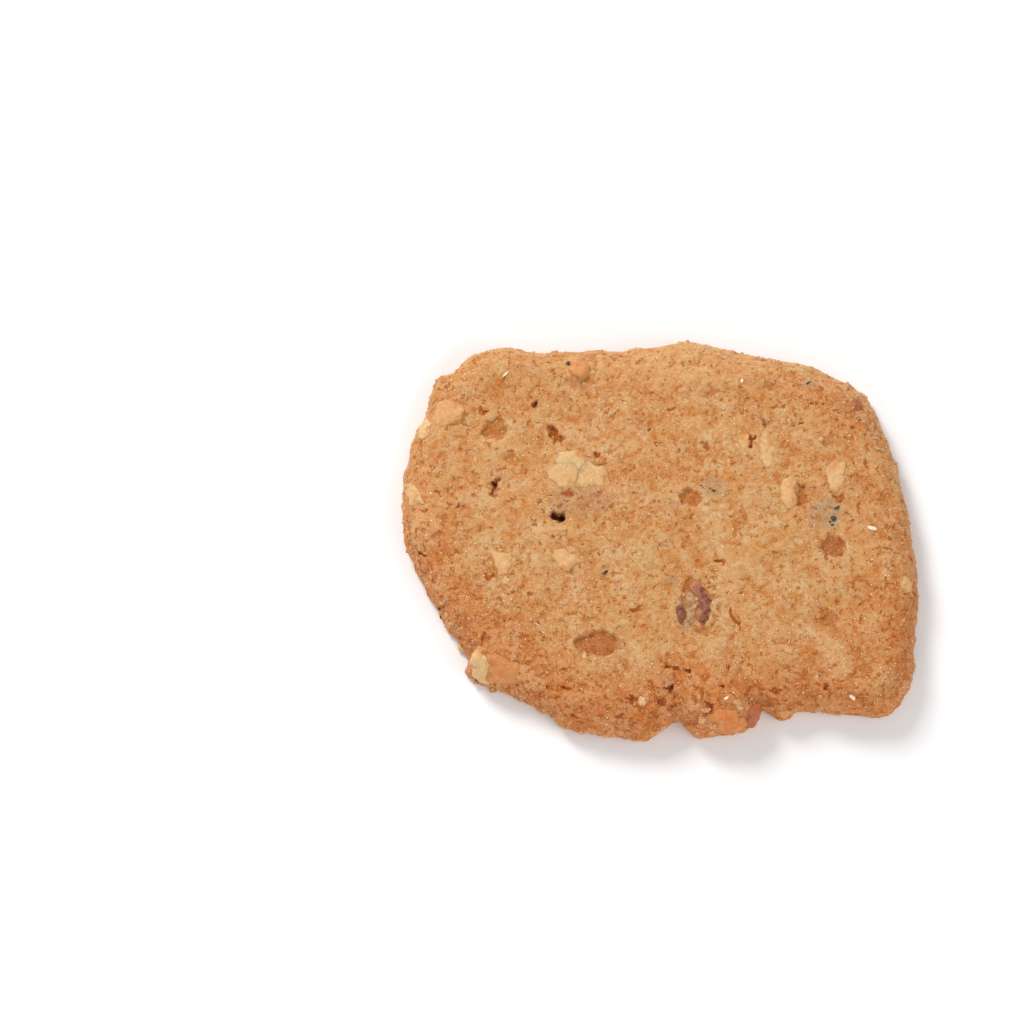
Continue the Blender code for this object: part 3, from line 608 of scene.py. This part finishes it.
def map_evenly(mesh, top_side, base_side):
    """The upper grid fills the upper part of the map, the underside the lower, the strip a thin band."""
    top_v, top_u = np.divmod(np.arange(top_side**2), top_side)
    base_v, base_u = np.divmod(np.arange(base_side**2), base_side)
    top_uv = np.column_stack((top_u, top_v)) / (top_side - 1) * (0.99, 0.63) + (0.005, 0.365)
    base_uv = np.column_stack((base_u, base_v)) / (base_side - 1) * (0.99, 0.32) + (0.005, 0.005)
    places = np.vstack((top_uv, base_uv))
    corners = np.empty(len(mesh.loops), int)
    mesh.loops.foreach_get("vertex_index", corners)
    uv = places[corners]
    sizes = np.array([polygon.loop_total for polygon in mesh.polygons])
    starts = np.concatenate(((0,), np.cumsum(sizes)[:-1]))
    strip = np.flatnonzero(sizes == 3)
    for order, face in enumerate(strip):
        left = 0.005 + 0.99 * order / len(strip)
        width = 0.9 / len(strip)
        uv[starts[face]:starts[face] + 3] = ((left, 0.355), (left, 0.335), (left + width, 0.355))
    layer = mesh.uv_layers.new(name="OFBake")
    layer.data.foreach_set("uv", uv.astype(np.float32).ravel())


# ---- nuts, skins and loose things ----

ABOVE_FLOOR = 0.02  # nothing small hangs lower than this
NUT_FLOOR = 0.3  # nor any nut lower than this


def ball(subdivisions):
    """Points and faces of a ball of radius 1."""
    mesh = bmesh.new()
    bmesh.ops.create_icosphere(mesh, subdivisions=subdivisions, radius=1)
    points = np.array([vertex.co for vertex in mesh.verts])
    faces = np.array([[vertex.index for vertex in face.verts] for face in mesh.faces])
    mesh.free()
    return points, faces


def crystal():
    """Points and faces of a cube of side 1 with its edges worn."""
    mesh = bmesh.new()
    bmesh.ops.create_cube(mesh, size=1)
    bmesh.ops.bevel(mesh, geom=mesh.edges[:], offset=0.12, segments=1, affect="EDGES")
    bmesh.ops.triangulate(mesh, faces=mesh.faces[:])
    points = np.array([vertex.co for vertex in mesh.verts])
    faces = np.array([[vertex.index for vertex in face.verts] for face in mesh.faces])
    mesh.free()
    return points, faces


def chunk(nut, points):
    """A nut piece in its own axes: a squarish ball to its plan, with a few flat cuts."""
    rng = np.random.default_rng(nut.seed)
    bearing = np.arctan2(points[:, 1], points[:, 0])
    level = np.hypot(points[:, 0], points[:, 1])
    swell = (level**NUT_SQUARENESS + np.abs(points[:, 2]) ** NUT_SQUARENESS) ** (-1 / NUT_SQUARENESS)
    shape = points * swell[:, None]
    for _ in range(NUT_CUTS):
        facing = rng.normal(size=3) + (0, 0, CUT_LEAN)
        facing /= np.linalg.norm(facing)
        past = np.clip(shape @ facing - rng.uniform(*CUT_PLACES), 0, None)
        shape -= past[:, None] * facing
    wide = plan_radius(nut, bearing)
    return shape * np.column_stack((wide, wide, np.full(len(points), nut.tall / 2)))


def place_chunk(nut, points):
    """A nut piece set in the dough, and how high each point stands above the dough there."""
    shape = chunk(nut, points)
    rough = sum(height * noise(shape, cell, nut.seed) for cell, height in NUT_ROUGHNESS)
    shape = shape + points * rough[:, None] * (NUT_RAGGEDNESS, NUT_RAGGEDNESS, 1)
    place, axes = surface_frame(nut.x, nut.y, nut.turn)
    raised = place + axes[:, 2] * main_relief(place[None])[0]
    middle = raised + axes[:, 2] * (nut.proud - shape[:, 2].max())
    placed = middle + shape @ axes.T
    placed[:, 2] = np.maximum(placed[:, 2], NUT_FLOOR)
    above = placed[:, 2] - height(placed[:, 0], placed[:, 1]) - (raised - place)[2]
    return placed, above


def joined_mesh(name, pieces, attributes=None):
    """One mesh from many (points, faces), with each named attribute joined in the same order."""
    counts = np.cumsum([0] + [len(points) for points, _ in pieces])
    points = np.vstack([points for points, _ in pieces])
    points[:, 2] = np.maximum(points[:, 2], ABOVE_FLOOR)
    faces = [face for start, (_, own) in zip(counts, pieces) for face in (own + start).tolist()]
    mesh = bpy.data.meshes.new(name)
    mesh.from_pydata((points * METRES).tolist(), [], faces)
    for key, values in (attributes or {}).items():
        layer = mesh.attributes.new(key, "FLOAT", "POINT")
        layer.data.foreach_set("value", np.concatenate(values).astype(np.float32))
    return mesh


def nut_mesh(name, nuts, subdivisions):
    points, faces = ball(subdivisions)
    pieces, above, toast, tone = [], [], [], []
    for nut in nuts:
        placed, height_above = place_chunk(nut, points)
        pieces.append((placed, faces))
        above.append(height_above)
        toast.append(np.full(len(points), nut.toast))
        tone.append(np.full(len(points), np.random.default_rng(nut.seed + 7).uniform()))
    mesh = joined_mesh(name, pieces, {"above": above, "toast": toast, "tone": tone})
    mesh.shade_smooth()
    mesh.set_sharp_from_angle(angle=np.radians(50))
    return mesh


def strew(kind, template, top, normals, rng):
    """Copies of a small shape on the dough, each turned at random and sunk by a share of its size."""
    points, faces = template
    able = np.flatnonzero((top[:, 2] > kind.lowest) & (top[:, 2] < kind.highest))
    picked = rng.choice(able, kind.count, replace=False)
    pieces = []
    for i, size in zip(picked, rng.uniform(*kind.sizes, kind.count)):
        turned = points * size * rng.uniform(*kind.stretch, size=3)
        spin = np.array(Euler(rng.uniform(0, 2 * np.pi, 3)).to_matrix())
        pieces.append((top[i] + normals[i] * size * (0.5 - kind.sunk) + turned @ spin.T, faces))
    return pieces


def rough_ball(subdivisions, seed, amount):
    points, faces = ball(subdivisions)
    return points * (0.5 + amount * noise(points, 0.7, seed))[:, None], faces


def spot_at(top, normals, x, y):
    """The point of the upper surface nearest to x, y, seen from above."""
    i = np.argmin(np.hypot(top[:, 0] - x, top[:, 1] - y) - 0.02 * top[:, 2])
    return top[i], normals[i]


# Loose or half-baked-in things that can be told apart: x, y, size, and how long and turned.
Fleck = namedtuple("Fleck", "x y length width turn")
WHITE_CRUMBS = (
    Fleck(25.1, 0.1, 1.2, 0.5, -15), Fleck(22.4, -20.0, 0.9, 0.5, -50), Fleck(10.0, 18.4, 0.3, 0.5, 0),
    Fleck(7.4, -20.4, 0.6, 0.3, 30), Fleck(-18.4, 19.3, 1.1, 0.25, 45),
)
PALE_CRUMBS = (
    Fleck(-9.2, -15.3, 0.5, 0.8, 0), Fleck(-2.3, -20.7, 0.8, 1.0, 20), Fleck(-18.4, -6.3, 0.9, 0.9, 0),
    Fleck(9.0, -21.4, 0.8, 0.5, -30), Fleck(14.9, -21.3, 0.7, 0.7, 0), Fleck(-24.6, -13.4, 0.8, 1.0, 0),
)
DOUGH_CRUMBS = (
    Fleck(2.6, -7.9, 0.5, 0.6, 10), Fleck(3.6, -7.6, 0.6, 0.4, 40), Fleck(3.9, -9.3, 0.5, 0.6, 0),
    Fleck(2.9, -9.7, 0.6, 0.4, 20), Fleck(4.1, -8.4, 0.5, 0.5, 0), Fleck(-20.1, -19.0, 1.2, 0.8, 30),
    Fleck(5.2, -21.6, 1.1, 0.9, 20), Fleck(6.0, -23.2, 1.2, 1.0, 0), Fleck(4.6, -22.8, 1.0, 0.9, 60),
    Fleck(8.9, -20.9, 1.0, 0.7, 0), Fleck(-22.9, -18.6, 0.9, 0.6, 30), Fleck(13.0, -20.9, 1.0, 0.6, 0),
)
BLACK_SPECKS = (
    Fleck(20.9, 2.6, 0.65, 0.4, 30), Fleck(20.5, 1.3, 0.55, 0.7, 0), Fleck(20.3, 0.6, 0.35, 0.3, 0),
    Fleck(20.2, 1.0, 0.3, 0.3, 0), Fleck(6.4, 4.7, 0.5, 0.25, -25), Fleck(6.0, 5.1, 0.2, 0.2, 0),
    Fleck(6.8, 5.9, 0.15, 0.15, 0), Fleck(4.9, 5.3, 0.4, 0.15, 10), Fleck(-10.9, 20.7, 0.5, 0.6, 30),
    Fleck(-5.3, 14.5, 0.15, 0.15, 0), Fleck(-4.7, 8.2, 0.18, 0.18, 0), Fleck(-0.4, 6.4, 0.2, 0.2, 0),
    Fleck(12.9, 11.2, 0.15, 0.15, 0), Fleck(-26.3, -8.7, 0.6, 0.35, 20), Fleck(-26.2, -9.5, 0.4, 0.5, 0),
    Fleck(-6.6, -5.3, 0.8, 0.4, 30), Fleck(-3.3, -11.8, 0.2, 0.2, 0), Fleck(17.8, 18.3, 0.8, 0.3, 30),
)
# What is strewn at random: how many, the span of sizes and of stretch, how far sunk, and how high.
Strewn = namedtuple("Strewn", "count sizes stretch sunk lowest highest", defaults=(0.8, np.inf))
SUGAR_GRAINS = Strewn(1500, (0.05, 0.13), (0.7, 1.2), 0.45)
LOOSE_CRUMBS = Strewn(90, (0.25, 0.6), (0.6, 1.2), 0.45)
EDGE_CRUMBS = Strewn(260, (0.25, 0.6), (0.6, 1.3), 0.7, 0.3, 3.2)
STRAY_SPECKS = Strewn(26, (0.10, 0.20), (0.6, 1.2), 0.5)
STREWN_SEED = 2024
NUT_SUBDIVISIONS = 5


def fleck_pieces(flecks, template, top, normals, thickness, sunk):
    """Each fleck lies flat on the dough, at its own length, width and turn."""
    points, faces = template
    pieces = []
    for fleck in flecks:
        place, normal = spot_at(top, normals, fleck.x, fleck.y)
        spin = np.array(Matrix.Rotation(np.radians(fleck.turn), 3, "Z"))
        lie = np.array(Vector(normal).to_track_quat("Z", "Y").to_matrix())
        lie = lie @ np.array(Matrix.Rotation(-np.arctan2(lie[1, 0], lie[0, 0]), 3, "Z")) @ spin
        thick = thickness * min(fleck.length, fleck.width)
        sized = points * (fleck.length, fleck.width, thick)
        pieces.append((place + normal * thick * (0.5 - sunk) + sized @ lie.T, faces))
    return pieces


# ---- materials ----


BROWNING = (0.96, 0.70, 0.56, 1.0)  # what the browning lets through of each colour: real browning near the rim, and towards the -Y side partly painted shade


def linear(red, green, blue):
    """A colour given as 0 to 255 on screen, as the shader needs it."""
    share = np.array((red, green, blue)) / 255
    low, high = share / 12.92, ((share + 0.055) / 1.055) ** 2.4
    return (*np.where(share <= 0.04045, low, high).tolist(), 1.0)


# Places of the colour sockets on a mix node, whose other sockets have the same names.
MIX_FIRST_COLOUR, MIX_SECOND_COLOUR, MIX_RESULT_COLOUR = 6, 7, 2


class Shader:
    """One material's nodes, with short ways to add and join them. Lengths are in millimetres."""

    def __init__(self, name, roughness, **settings):
        self.material = bpy.data.materials.new(name)
        self.material.use_nodes = True
        self.nodes = self.material.node_tree.nodes
        self.links = self.material.node_tree.links
        self.surface = self.nodes["Principled BSDF"]
        self.surface.inputs["Roughness"].default_value = roughness
        for key, value in settings.items():
            self.surface.inputs[key.replace("_", " ").title()].default_value = value
        place = self.nodes.new("ShaderNodeTexCoord").outputs["Object"]
        self.place = self.vector("SCALE", place, scale=1 / METRES)

    def put(self, value, socket):
        if isinstance(value, bpy.types.NodeSocket):
            self.links.new(value, socket)
        else:
            socket.default_value = value

    def vector(self, operation, first, second=None, scale=None):
        node = self.nodes.new("ShaderNodeVectorMath")
        node.operation = operation
        self.put(first, node.inputs[0])
        if second is not None:
            self.put(second, node.inputs[1])
        if scale is not None:
            self.put(scale, node.inputs["Scale"])
        return node.outputs[0]

    def math(self, operation, first, second=0.5, clamp=False):
        node = self.nodes.new("ShaderNodeMath")
        node.operation = operation
        node.use_clamp = clamp
        self.put(first, node.inputs[0])
        self.put(second, node.inputs[1])
        return node.outputs[0]

    def noise(self, cell, detail=2.0, roughness=0.5, distortion=0.0, offset=(0, 0, 0)):
        node = self.nodes.new("ShaderNodeTexNoise")
        self.put(self.vector("ADD", self.place, offset), node.inputs["Vector"])
        node.inputs["Scale"].default_value = 1 / cell
        node.inputs["Detail"].default_value = detail
        node.inputs["Roughness"].default_value = roughness
        node.inputs["Distortion"].default_value = distortion
        return node.outputs["Fac"]

    def cells(self, cell, feature="F1", place=None):
        node = self.nodes.new("ShaderNodeTexVoronoi")
        node.feature = feature
        self.put(place or self.place, node.inputs["Vector"])
        node.inputs["Scale"].default_value = 1 / cell
        return node

    def bent(self, cell, amount):
        """The place, shifted by noise, so that what is drawn there has uneven borders."""
        node = self.nodes.new("ShaderNodeTexNoise")
        self.put(self.place, node.inputs["Vector"])
        node.inputs["Scale"].default_value = 1 / cell
        shift = self.vector("SUBTRACT", node.outputs["Color"], (0.5, 0.5, 0.5))
        return self.vector("ADD", self.place, self.vector("SCALE", shift, scale=2 * amount))

    def cracks(self, length, share, offset):
        """Short open cracks: where a field of noise crosses its middle, within scattered patches. The
        dough's colour draws them dark orange, as painted shade.
        """
        crossing = self.noise(length, 3, 0.6, 0.8, offset)
        nearness = self.math("ABSOLUTE", self.math("SUBTRACT", crossing, 0.5))
        patches = self.noise(length, 2, 0.5, 0.0, offset[::-1])
        patches = self.total(-0.03, (patches, 1.0), (self.attribute("browning_and_shade"), 0.08))
        open_here = self.between(patches, share, share + 0.07)
        return self.math("MULTIPLY", self.between(nearness, 0.06, 0.03), open_here)

    def attribute(self, name):
        node = self.nodes.new("ShaderNodeAttribute")
        node.attribute_name = name
        return node.outputs["Fac"]

    def between(self, value, low, high, to_low=0.0, to_high=1.0):
        """The value spread from low..high over to_low..to_high, smoothly and without overshoot."""
        node = self.nodes.new("ShaderNodeMapRange")
        node.interpolation_type = "SMOOTHSTEP"
        self.put(value, node.inputs["Value"])
        for key, number in zip(("From Min", "From Max", "To Min", "To Max"), (low, high, to_low, to_high)):
            node.inputs[key].default_value = number
        return node.outputs["Result"]

    def mix(self, factor, first, second, blend="MIX"):
        node = self.nodes.new("ShaderNodeMix")
        node.data_type = "RGBA"
        node.blend_type = blend
        self.put(factor, node.inputs["Factor"])
        self.put(first, node.inputs[MIX_FIRST_COLOUR])
        self.put(second, node.inputs[MIX_SECOND_COLOUR])
        return node.outputs[MIX_RESULT_COLOUR]

    def towards(self, colour, amount, tone, share=1.0):
        """The colour moved to a tone, given as on screen, by a share of an amount."""
        if share != 1.0:
            amount = self.math("MULTIPLY", amount, share)
        return self.mix(amount, colour, linear(*tone))

    def ramp(self, value, *stops):
        """A colour for each value, through stops of (value, red, green, blue)."""
        node = self.nodes.new("ShaderNodeValToRGB")
        self.put(value, node.inputs["Fac"])
        elements = node.color_ramp.elements
        while len(elements) < len(stops):
            elements.new(0.5)
        for element, (place, *colour) in zip(elements, stops):
            element.position = place
            element.color = linear(*colour)
        return node.outputs["Color"]

    def total(self, start, *shares):
        """The start plus a share of each value."""
        result = start
        for value, share in shares:
            node = self.nodes.new("ShaderNodeMath")
            node.operation = "MULTIPLY_ADD"
            self.put(value, node.inputs[0])
            self.put(share, node.inputs[1])
            self.put(result, node.inputs[2])
            result = node.outputs[0]
        return result

    def bump(self, heights, depth):
        """Joins one height, in shares of a depth in millimetres, to the surface's normal."""
        node = self.nodes.new("ShaderNodeBump")
        node.inputs["Distance"].default_value = depth * METRES
        self.put(heights, node.inputs["Height"])
        self.links.new(node.outputs["Normal"], self.surface.inputs["Normal"])

    def finish(self, colour, roughness=None):
        self.put(colour, self.surface.inputs["Base Color"])
        if roughness is not None:
            self.put(roughness, self.surface.inputs["Roughness"])
        return self.material


def dough_material():
    made = Shader("baked dough", 0.55, subsurface_weight=0.6, subsurface_scale=0.0007)
    made.surface.inputs["Subsurface Radius"].default_value = (1.0, 0.4, 0.15)
    made.surface.inputs["Specular IOR Level"].default_value = 0.15
    fine = made.noise(0.17, 3, 0.7, offset=(3, 1, 7))
    grain = made.noise(0.45, 3, 0.6, offset=(8, 2, 5))
    clump = made.noise(1.2, 3, 0.55, distortion=0.6)
    patch = made.noise(3.2, 3, 0.5, offset=(5, 5, 5))
    cavity = made.attribute("cavity")
    # A small share of cavity in the tone is painted shade: raised places a little lighter, sunken ones a
    # little darker.
    tone = made.total(
        -0.68, (fine, 0.76), (grain, 0.45), (clump, 0.56), (patch, 0.35), (made.attribute("lot"), 0.1),
        (cavity, 0.05),
    )
    colour = made.ramp(
        tone, (0.0, 192, 101, 24), (0.25, 205, 135, 66), (0.5, 213, 168, 113), (0.75, 220, 192, 152),
        (1.0, 228, 215, 190),
    )
    # The browning is real near the rim; its extra darkening towards the -Y side is partly painted shade.
    drift = made.between(made.noise(5.0, 3), 0.35, 0.65, 0, 0.25)
    browned_and_shaded = made.math("ADD", made.math("MULTIPLY", made.attribute("browning_and_shade"), 0.85), drift, clamp=True)
    colour = made.mix(browned_and_shaded, colour, BROWNING, "MULTIPLY")
    # Pale patches: the dough's own paler places, and along the +Y edge partly painted light.
    colour = made.towards(colour, made.attribute("pale"), (226, 178, 123), 0.6)
    patchy = made.between(made.noise(0.7, 3, 0.6, offset=(6, 6, 1)), 0.32, 0.6, 0.25, 0.85)
    colour = made.towards(colour, made.math("MULTIPLY", made.attribute("grey"), patchy), (174, 148, 120))
    # Painted shade: the brown patches darken the hollows' floors and the dough beside nut pieces.
    colour = made.towards(colour, made.attribute("brown"), (183, 113, 62), 0.85)
    cracks = made.cracks(0.8, 0.57, (2, 9, 4))
    ticks = made.cracks(0.42, 0.585, (8, 3, 1))
    # Painted shade: cracks and ticks drawn dark orange into the colour, as the shaded inside of a crack
    # looks; the bump gives them only shallow depth.
    colour = made.towards(colour, cracks, (176, 80, 4), 0.8)
    colour = made.towards(colour, ticks, (184, 90, 8), 0.45)
    # Painted shade: the creases between granules drawn orange, as shaded creases look.
    colour = made.towards(colour, made.attribute("crease"), (188, 104, 32), 0.4)
    # Painted shade: sunken places drawn deeper orange, as shaded hollows look.
    painted_hollow_shade = made.between(cavity, -0.3, -1.2, 0, 0.4)
    colour = made.towards(colour, painted_hollow_shade, (184, 104, 36))
    # Painted shade: small holes drawn dark orange into the colour, with only a shallow bump for depth.
    spots = made.cells(0.9, place=made.bent(0.35, 0.45))
    chance = spots.outputs["Color"]
    shrunk = made.total(0.0, (spots.outputs["Distance"], 1.0), (chance, -0.2))
    holes = made.math("MULTIPLY", made.between(shrunk, 0.06, 0.0), made.math("GREATER_THAN", chance, 0.6))
    colour = made.towards(colour, holes, (180, 90, 10), 0.75)
    # Painted shade inside the small pits of the mesh and the holes of the underside.
    ragged = made.total(-0.35, (made.attribute("pitted"), 1.0), (made.noise(0.25, 2, offset=(7, 1, 1)), 0.7))
    colour = made.towards(colour, made.between(ragged, 0.25, 0.6, 0, 0.7), (184, 96, 16))
    # Painted shade in the named pits: their insides drawn orange and, where deepest, dark red-brown.
    deep = made.total(-0.25, (made.attribute("tint"), 1.0), (made.noise(0.3, 2, offset=(2, 7, 6)), 0.5))
    colour = made.towards(colour, made.between(deep, 0.1, 0.45, 0, 0.85), (172, 80, 12))
    colour = made.towards(colour, made.between(deep, 0.6, 0.9), (82, 34, 30))
    # Painted highlights: small cream-white glints drawn into the colour; the bump raises them a little.
    painted_glints = made.between(made.noise(0.16, 2, 0.5, offset=(9, 3, 2)), 0.63, 0.70, 0, 0.75)
    colour = made.towards(colour, painted_glints, (246, 226, 194))
    heights = made.total(
        0.0, (fine, 0.6), (grain, 0.7), (clump, 0.8), (made.noise(0.14, 2), 0.5), (cracks, -0.5),
        (ticks, -0.5), (holes, -0.6), (painted_glints, 0.3),
    )
    made.bump(heights, 0.18)
    gloss = made.between(made.noise(0.3, 2, offset=(1, 8, 3)), 0.3, 0.7, 0.35, 0.7)
    return made.finish(colour, gloss)


def nut_material():
    made = Shader("hazelnut", 0.45, subsurface_weight=0.35, subsurface_scale=0.001)
    made.surface.inputs["Subsurface Radius"].default_value = (1.0, 0.6, 0.3)
    made.surface.inputs["Specular IOR Level"].default_value = 0.3
    toast = made.attribute("toast")
    flesh = made.noise(0.4, 3, 0.6)
    colour = made.mix(made.attribute("tone"), linear(222, 181, 128), linear(219, 176, 122))
    baked = made.between(made.noise(1.6, 2), 0.3, 0.6, 0.75, 1)
    colour = made.towards(colour, made.math("MULTIPLY", toast, baked), (210, 123, 52))
    browner = made.between(made.noise(0.8, 4, 0.65, offset=(1, 3, 6)), 0.45, 0.62, 0, 0.55)
    colour = made.towards(colour, made.math("MULTIPLY", toast, browner), (192, 112, 56))
    untoasted = made.between(toast, 0.3, 1.0, 1.0, 0.4)
    creamy = made.math("MULTIPLY", made.between(flesh, 0.52, 0.68, 0, 0.4), untoasted)
    colour = made.towards(colour, creamy, (240, 212, 166))
    colour = made.towards(colour, made.between(flesh, 0.46, 0.3, 0, 0.35), (208, 148, 84))
    smears = made.between(made.noise(1.3, 4, 0.6, offset=(4, 9, 1)), 0.54, 0.66, 0, 0.6)
    colour = made.towards(colour, smears, (212, 154, 98))
    film_noise = made.noise(0.6, 4, 0.6, offset=(2, 2, 2))
    film = made.total(-0.4, (made.attribute("above"), 1.0), (film_noise, 0.8), (toast, -0.12))
    colour = made.towards(colour, made.between(film, 0.18, -0.02, 0, 0.75), (210, 142, 76))
    made.bump(made.total(0.0, (flesh, 1.0), (made.noise(0.18, 3), 0.8), (smears, 0.5)), 0.14)
    return made.finish(colour, made.between(flesh, 0.3, 0.7, 0.35, 0.55))


def skin_material():
    made = Shader("hazelnut skin", 0.35, subsurface_weight=0.15, subsurface_scale=0.0008)
    made.surface.inputs["Specular IOR Level"].default_value = 0.4
    wrinkle = made.noise(0.5, 3, 0.6, 1.0)
    colour = made.mix(made.between(wrinkle, 0.3, 0.65), linear(104, 50, 36), linear(146, 86, 60))
    light = made.between(made.noise(1.3, 2, offset=(3, 3, 8)), 0.5, 0.7, 0, 0.5)
    colour = made.towards(colour, light, (184, 118, 78))
    dark = made.between(made.noise(1.1, 3, offset=(1, 7, 8)), 0.45, 0.33, 0, 0.8)
    colour = made.towards(colour, dark, (84, 34, 24))
    colour = made.towards(colour, made.attribute("toast"), (182, 98, 54), 0.85)
    film = made.total(-0.4, (made.attribute("above"), 1.0), (made.noise(0.7, 4, 0.6, offset=(2, 2, 2)), 0.8))
    colour = made.towards(colour, made.between(film, 0.10, -0.02, 0, 0.8), (184, 114, 66))
    made.bump(made.math("ADD", wrinkle, made.noise(0.2, 2)), 0.08)
    return made.finish(colour, made.between(wrinkle, 0.3, 0.7, 0.25, 0.45))


# Light tone, dark tone and roughness of each kind of small thing.
SMALL_LOOKS = {
    "crumbs": ((222, 172, 120), (196, 130, 76), 0.7),
    "pale_crumbs": ((226, 188, 138), (208, 158, 104), 0.6),
    "white_crumbs": ((250, 238, 214), (232, 204, 160), 0.4),
    "dark_specks": ((78, 62, 56), (40, 32, 32), 0.5),
}


def crumb_material(name, light, dark, roughness):
    made = Shader(name, roughness)
    grain = made.noise(0.3, 3, 0.6)
    colour = made.mix(made.between(grain, 0.3, 0.7), linear(*dark), linear(*light))
    made.bump(made.math("ADD", grain, made.noise(0.12, 2)), 0.04)
    return made.finish(colour)


def sugar_material():
    made = Shader("sugar", 0.1)
    cloudy = made.noise(0.2, 2)
    colour = made.mix(made.between(cloudy, 0.3, 0.7), linear(238, 218, 188), linear(252, 246, 236))
    return made.finish(colour)


FLOOR_GAP = 0.00002  # metres, so that the base and the floor never share a plane


def floor_material():
    made = Shader("pale floor", 0.6)
    tone = made.between(made.noise(40.0, 2), 0.3, 0.7)
    return made.finish(made.mix(tone, linear(243, 243, 243), linear(246, 246, 246)))


# ---- putting it together ----


def add_piece(name, mesh, material):
    mesh.materials.append(material)
    piece = bpy.data.objects.new(name, mesh)
    bpy.context.scene.collection.objects.link(piece)
    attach(piece, BODY)
    return piece


def add_small(name, pieces):
    """Small things of one kind, joined into one piece of their own look."""
    light, dark, roughness = SMALL_LOOKS[name]
    look = crumb_material(name.replace("_", " "), light, dark, roughness)
    add_piece(name, joined_mesh(name, pieces), look)


def add_nuts():
    kinds = (("nut_pieces", NUTS, nut_material()), ("nut_skins", SKINS, skin_material()))
    for name, nuts, look in kinds:
        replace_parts(add_piece(name, nut_mesh(name, nuts, NUT_SUBDIVISIONS), look), NODE)


def add_crumbs(top, normals, rng):
    loose = strew(LOOSE_CRUMBS, rough_ball(2, 6, 0.12), top, normals, rng)
    loose += strew(EDGE_CRUMBS, rough_ball(2, 8, 0.12), top, normals, rng)
    loose += fleck_pieces(DOUGH_CRUMBS, rough_ball(3, 9, 0.24), top, normals, 0.8, 0.5)
    add_small("crumbs", loose)
    add_small("pale_crumbs", fleck_pieces(PALE_CRUMBS, rough_ball(3, 5, 0.28), top, normals, 0.7, 0.4))
    add_small("white_crumbs", fleck_pieces(WHITE_CRUMBS, rough_ball(3, 4, 0.14), top, normals, 0.7, 0.3))


def add_cookie():
    mesh, top, normals = dough_mesh()
    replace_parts(add_piece("dough", mesh, dough_material()), NODE)
    add_nuts()
    rng = np.random.default_rng(STREWN_SEED)
    grains = strew(SUGAR_GRAINS, crystal(), top, normals, rng)
    add_piece("sugar_grains", joined_mesh("sugar_grains", grains), sugar_material())
    add_crumbs(top, normals, rng)
    speck = rough_ball(2, 7, 0.3)
    specks = fleck_pieces(BLACK_SPECKS, speck, top, normals, 0.5, 0.35)
    add_small("dark_specks", specks + strew(STRAY_SPECKS, speck, top, normals, rng))


def add_floor():
    mesh = bmesh.new()
    bmesh.ops.create_grid(mesh, x_segments=1, y_segments=1, size=1.0)
    data = bpy.data.meshes.new("floor")
    mesh.to_mesh(data)
    mesh.free()
    data.materials.append(floor_material())
    floor = bpy.data.objects.new("floor", data)
    floor.location.z = -FLOOR_GAP
    bpy.context.scene.collection.objects.link(floor)


LIGHTS = (
    # name, place in metres, side in metres, power in watts
    ("key light", (-0.30, 0.42, 0.42), 0.22, 3.45),
    ("fill light", (0.45, -0.25, 0.38), 0.60, 1.5),
    ("low front light", (-0.10, -0.55, 0.22), 0.40, 1.0),
)
SKY_STRENGTH = 0.47


def add_lights():
    for name, place, side, power in LIGHTS:
        light = bpy.data.lights.new(name, "AREA")
        light.size = side
        light.energy = power
        lamp = bpy.data.objects.new(name, light)
        lamp.location = place
        lamp.rotation_euler = Vector(place).to_track_quat("Z", "Y").to_euler()
        bpy.context.scene.collection.objects.link(lamp)
    world = bpy.data.worlds.new("studio")
    world.use_nodes = True
    world.node_tree.nodes["Background"].inputs["Color"].default_value = (1, 1, 1, 1)
    world.node_tree.nodes["Background"].inputs["Strength"].default_value = SKY_STRENGTH
    bpy.context.scene.world = world
    bpy.context.scene.view_settings.view_transform = "Standard"


CAMERA_ELEVATION = np.radians(75.5)
CAMERA_DISTANCE = 0.45
SENSOR = 36.0
FRAME_PIXELS = 1024
COOKIE_PIXELS = 514.2  # length of the cookie in the picture
COOKIE_MIDDLE = (658.9, 541.6)  # pixel where the middle of its box comes


def add_camera():
    """A long lens that looks down on the cookie, which lies to the right of the picture's middle."""
    pixel = LENGTH * METRES / COOKIE_PIXELS
    back = Vector((0, -np.cos(CAMERA_ELEVATION), np.sin(CAMERA_ELEVATION)))
    up = Vector((0, np.sin(CAMERA_ELEVATION), np.cos(CAMERA_ELEVATION)))
    right = Vector((1, 0, 0))
    aside = (FRAME_PIXELS / 2 - COOKIE_MIDDLE[0]) * pixel
    above = (COOKIE_MIDDLE[1] - FRAME_PIXELS / 2) * pixel
    aim = right * aside + up * above
    data = bpy.data.cameras.new("camera")
    data.sensor_width = SENSOR
    data.lens = SENSOR * CAMERA_DISTANCE / (FRAME_PIXELS * pixel)
    data.clip_start = 0.01
    camera = bpy.data.objects.new("camera", data)
    camera.matrix_world = Matrix.Translation(aim + back * CAMERA_DISTANCE) @ (
        Matrix((right, up, back)).transposed().to_4x4()
    )
    bpy.context.scene.collection.objects.link(camera)
    bpy.context.scene.camera = camera


add_camera()
add_cookie()
add_floor()
add_lights()
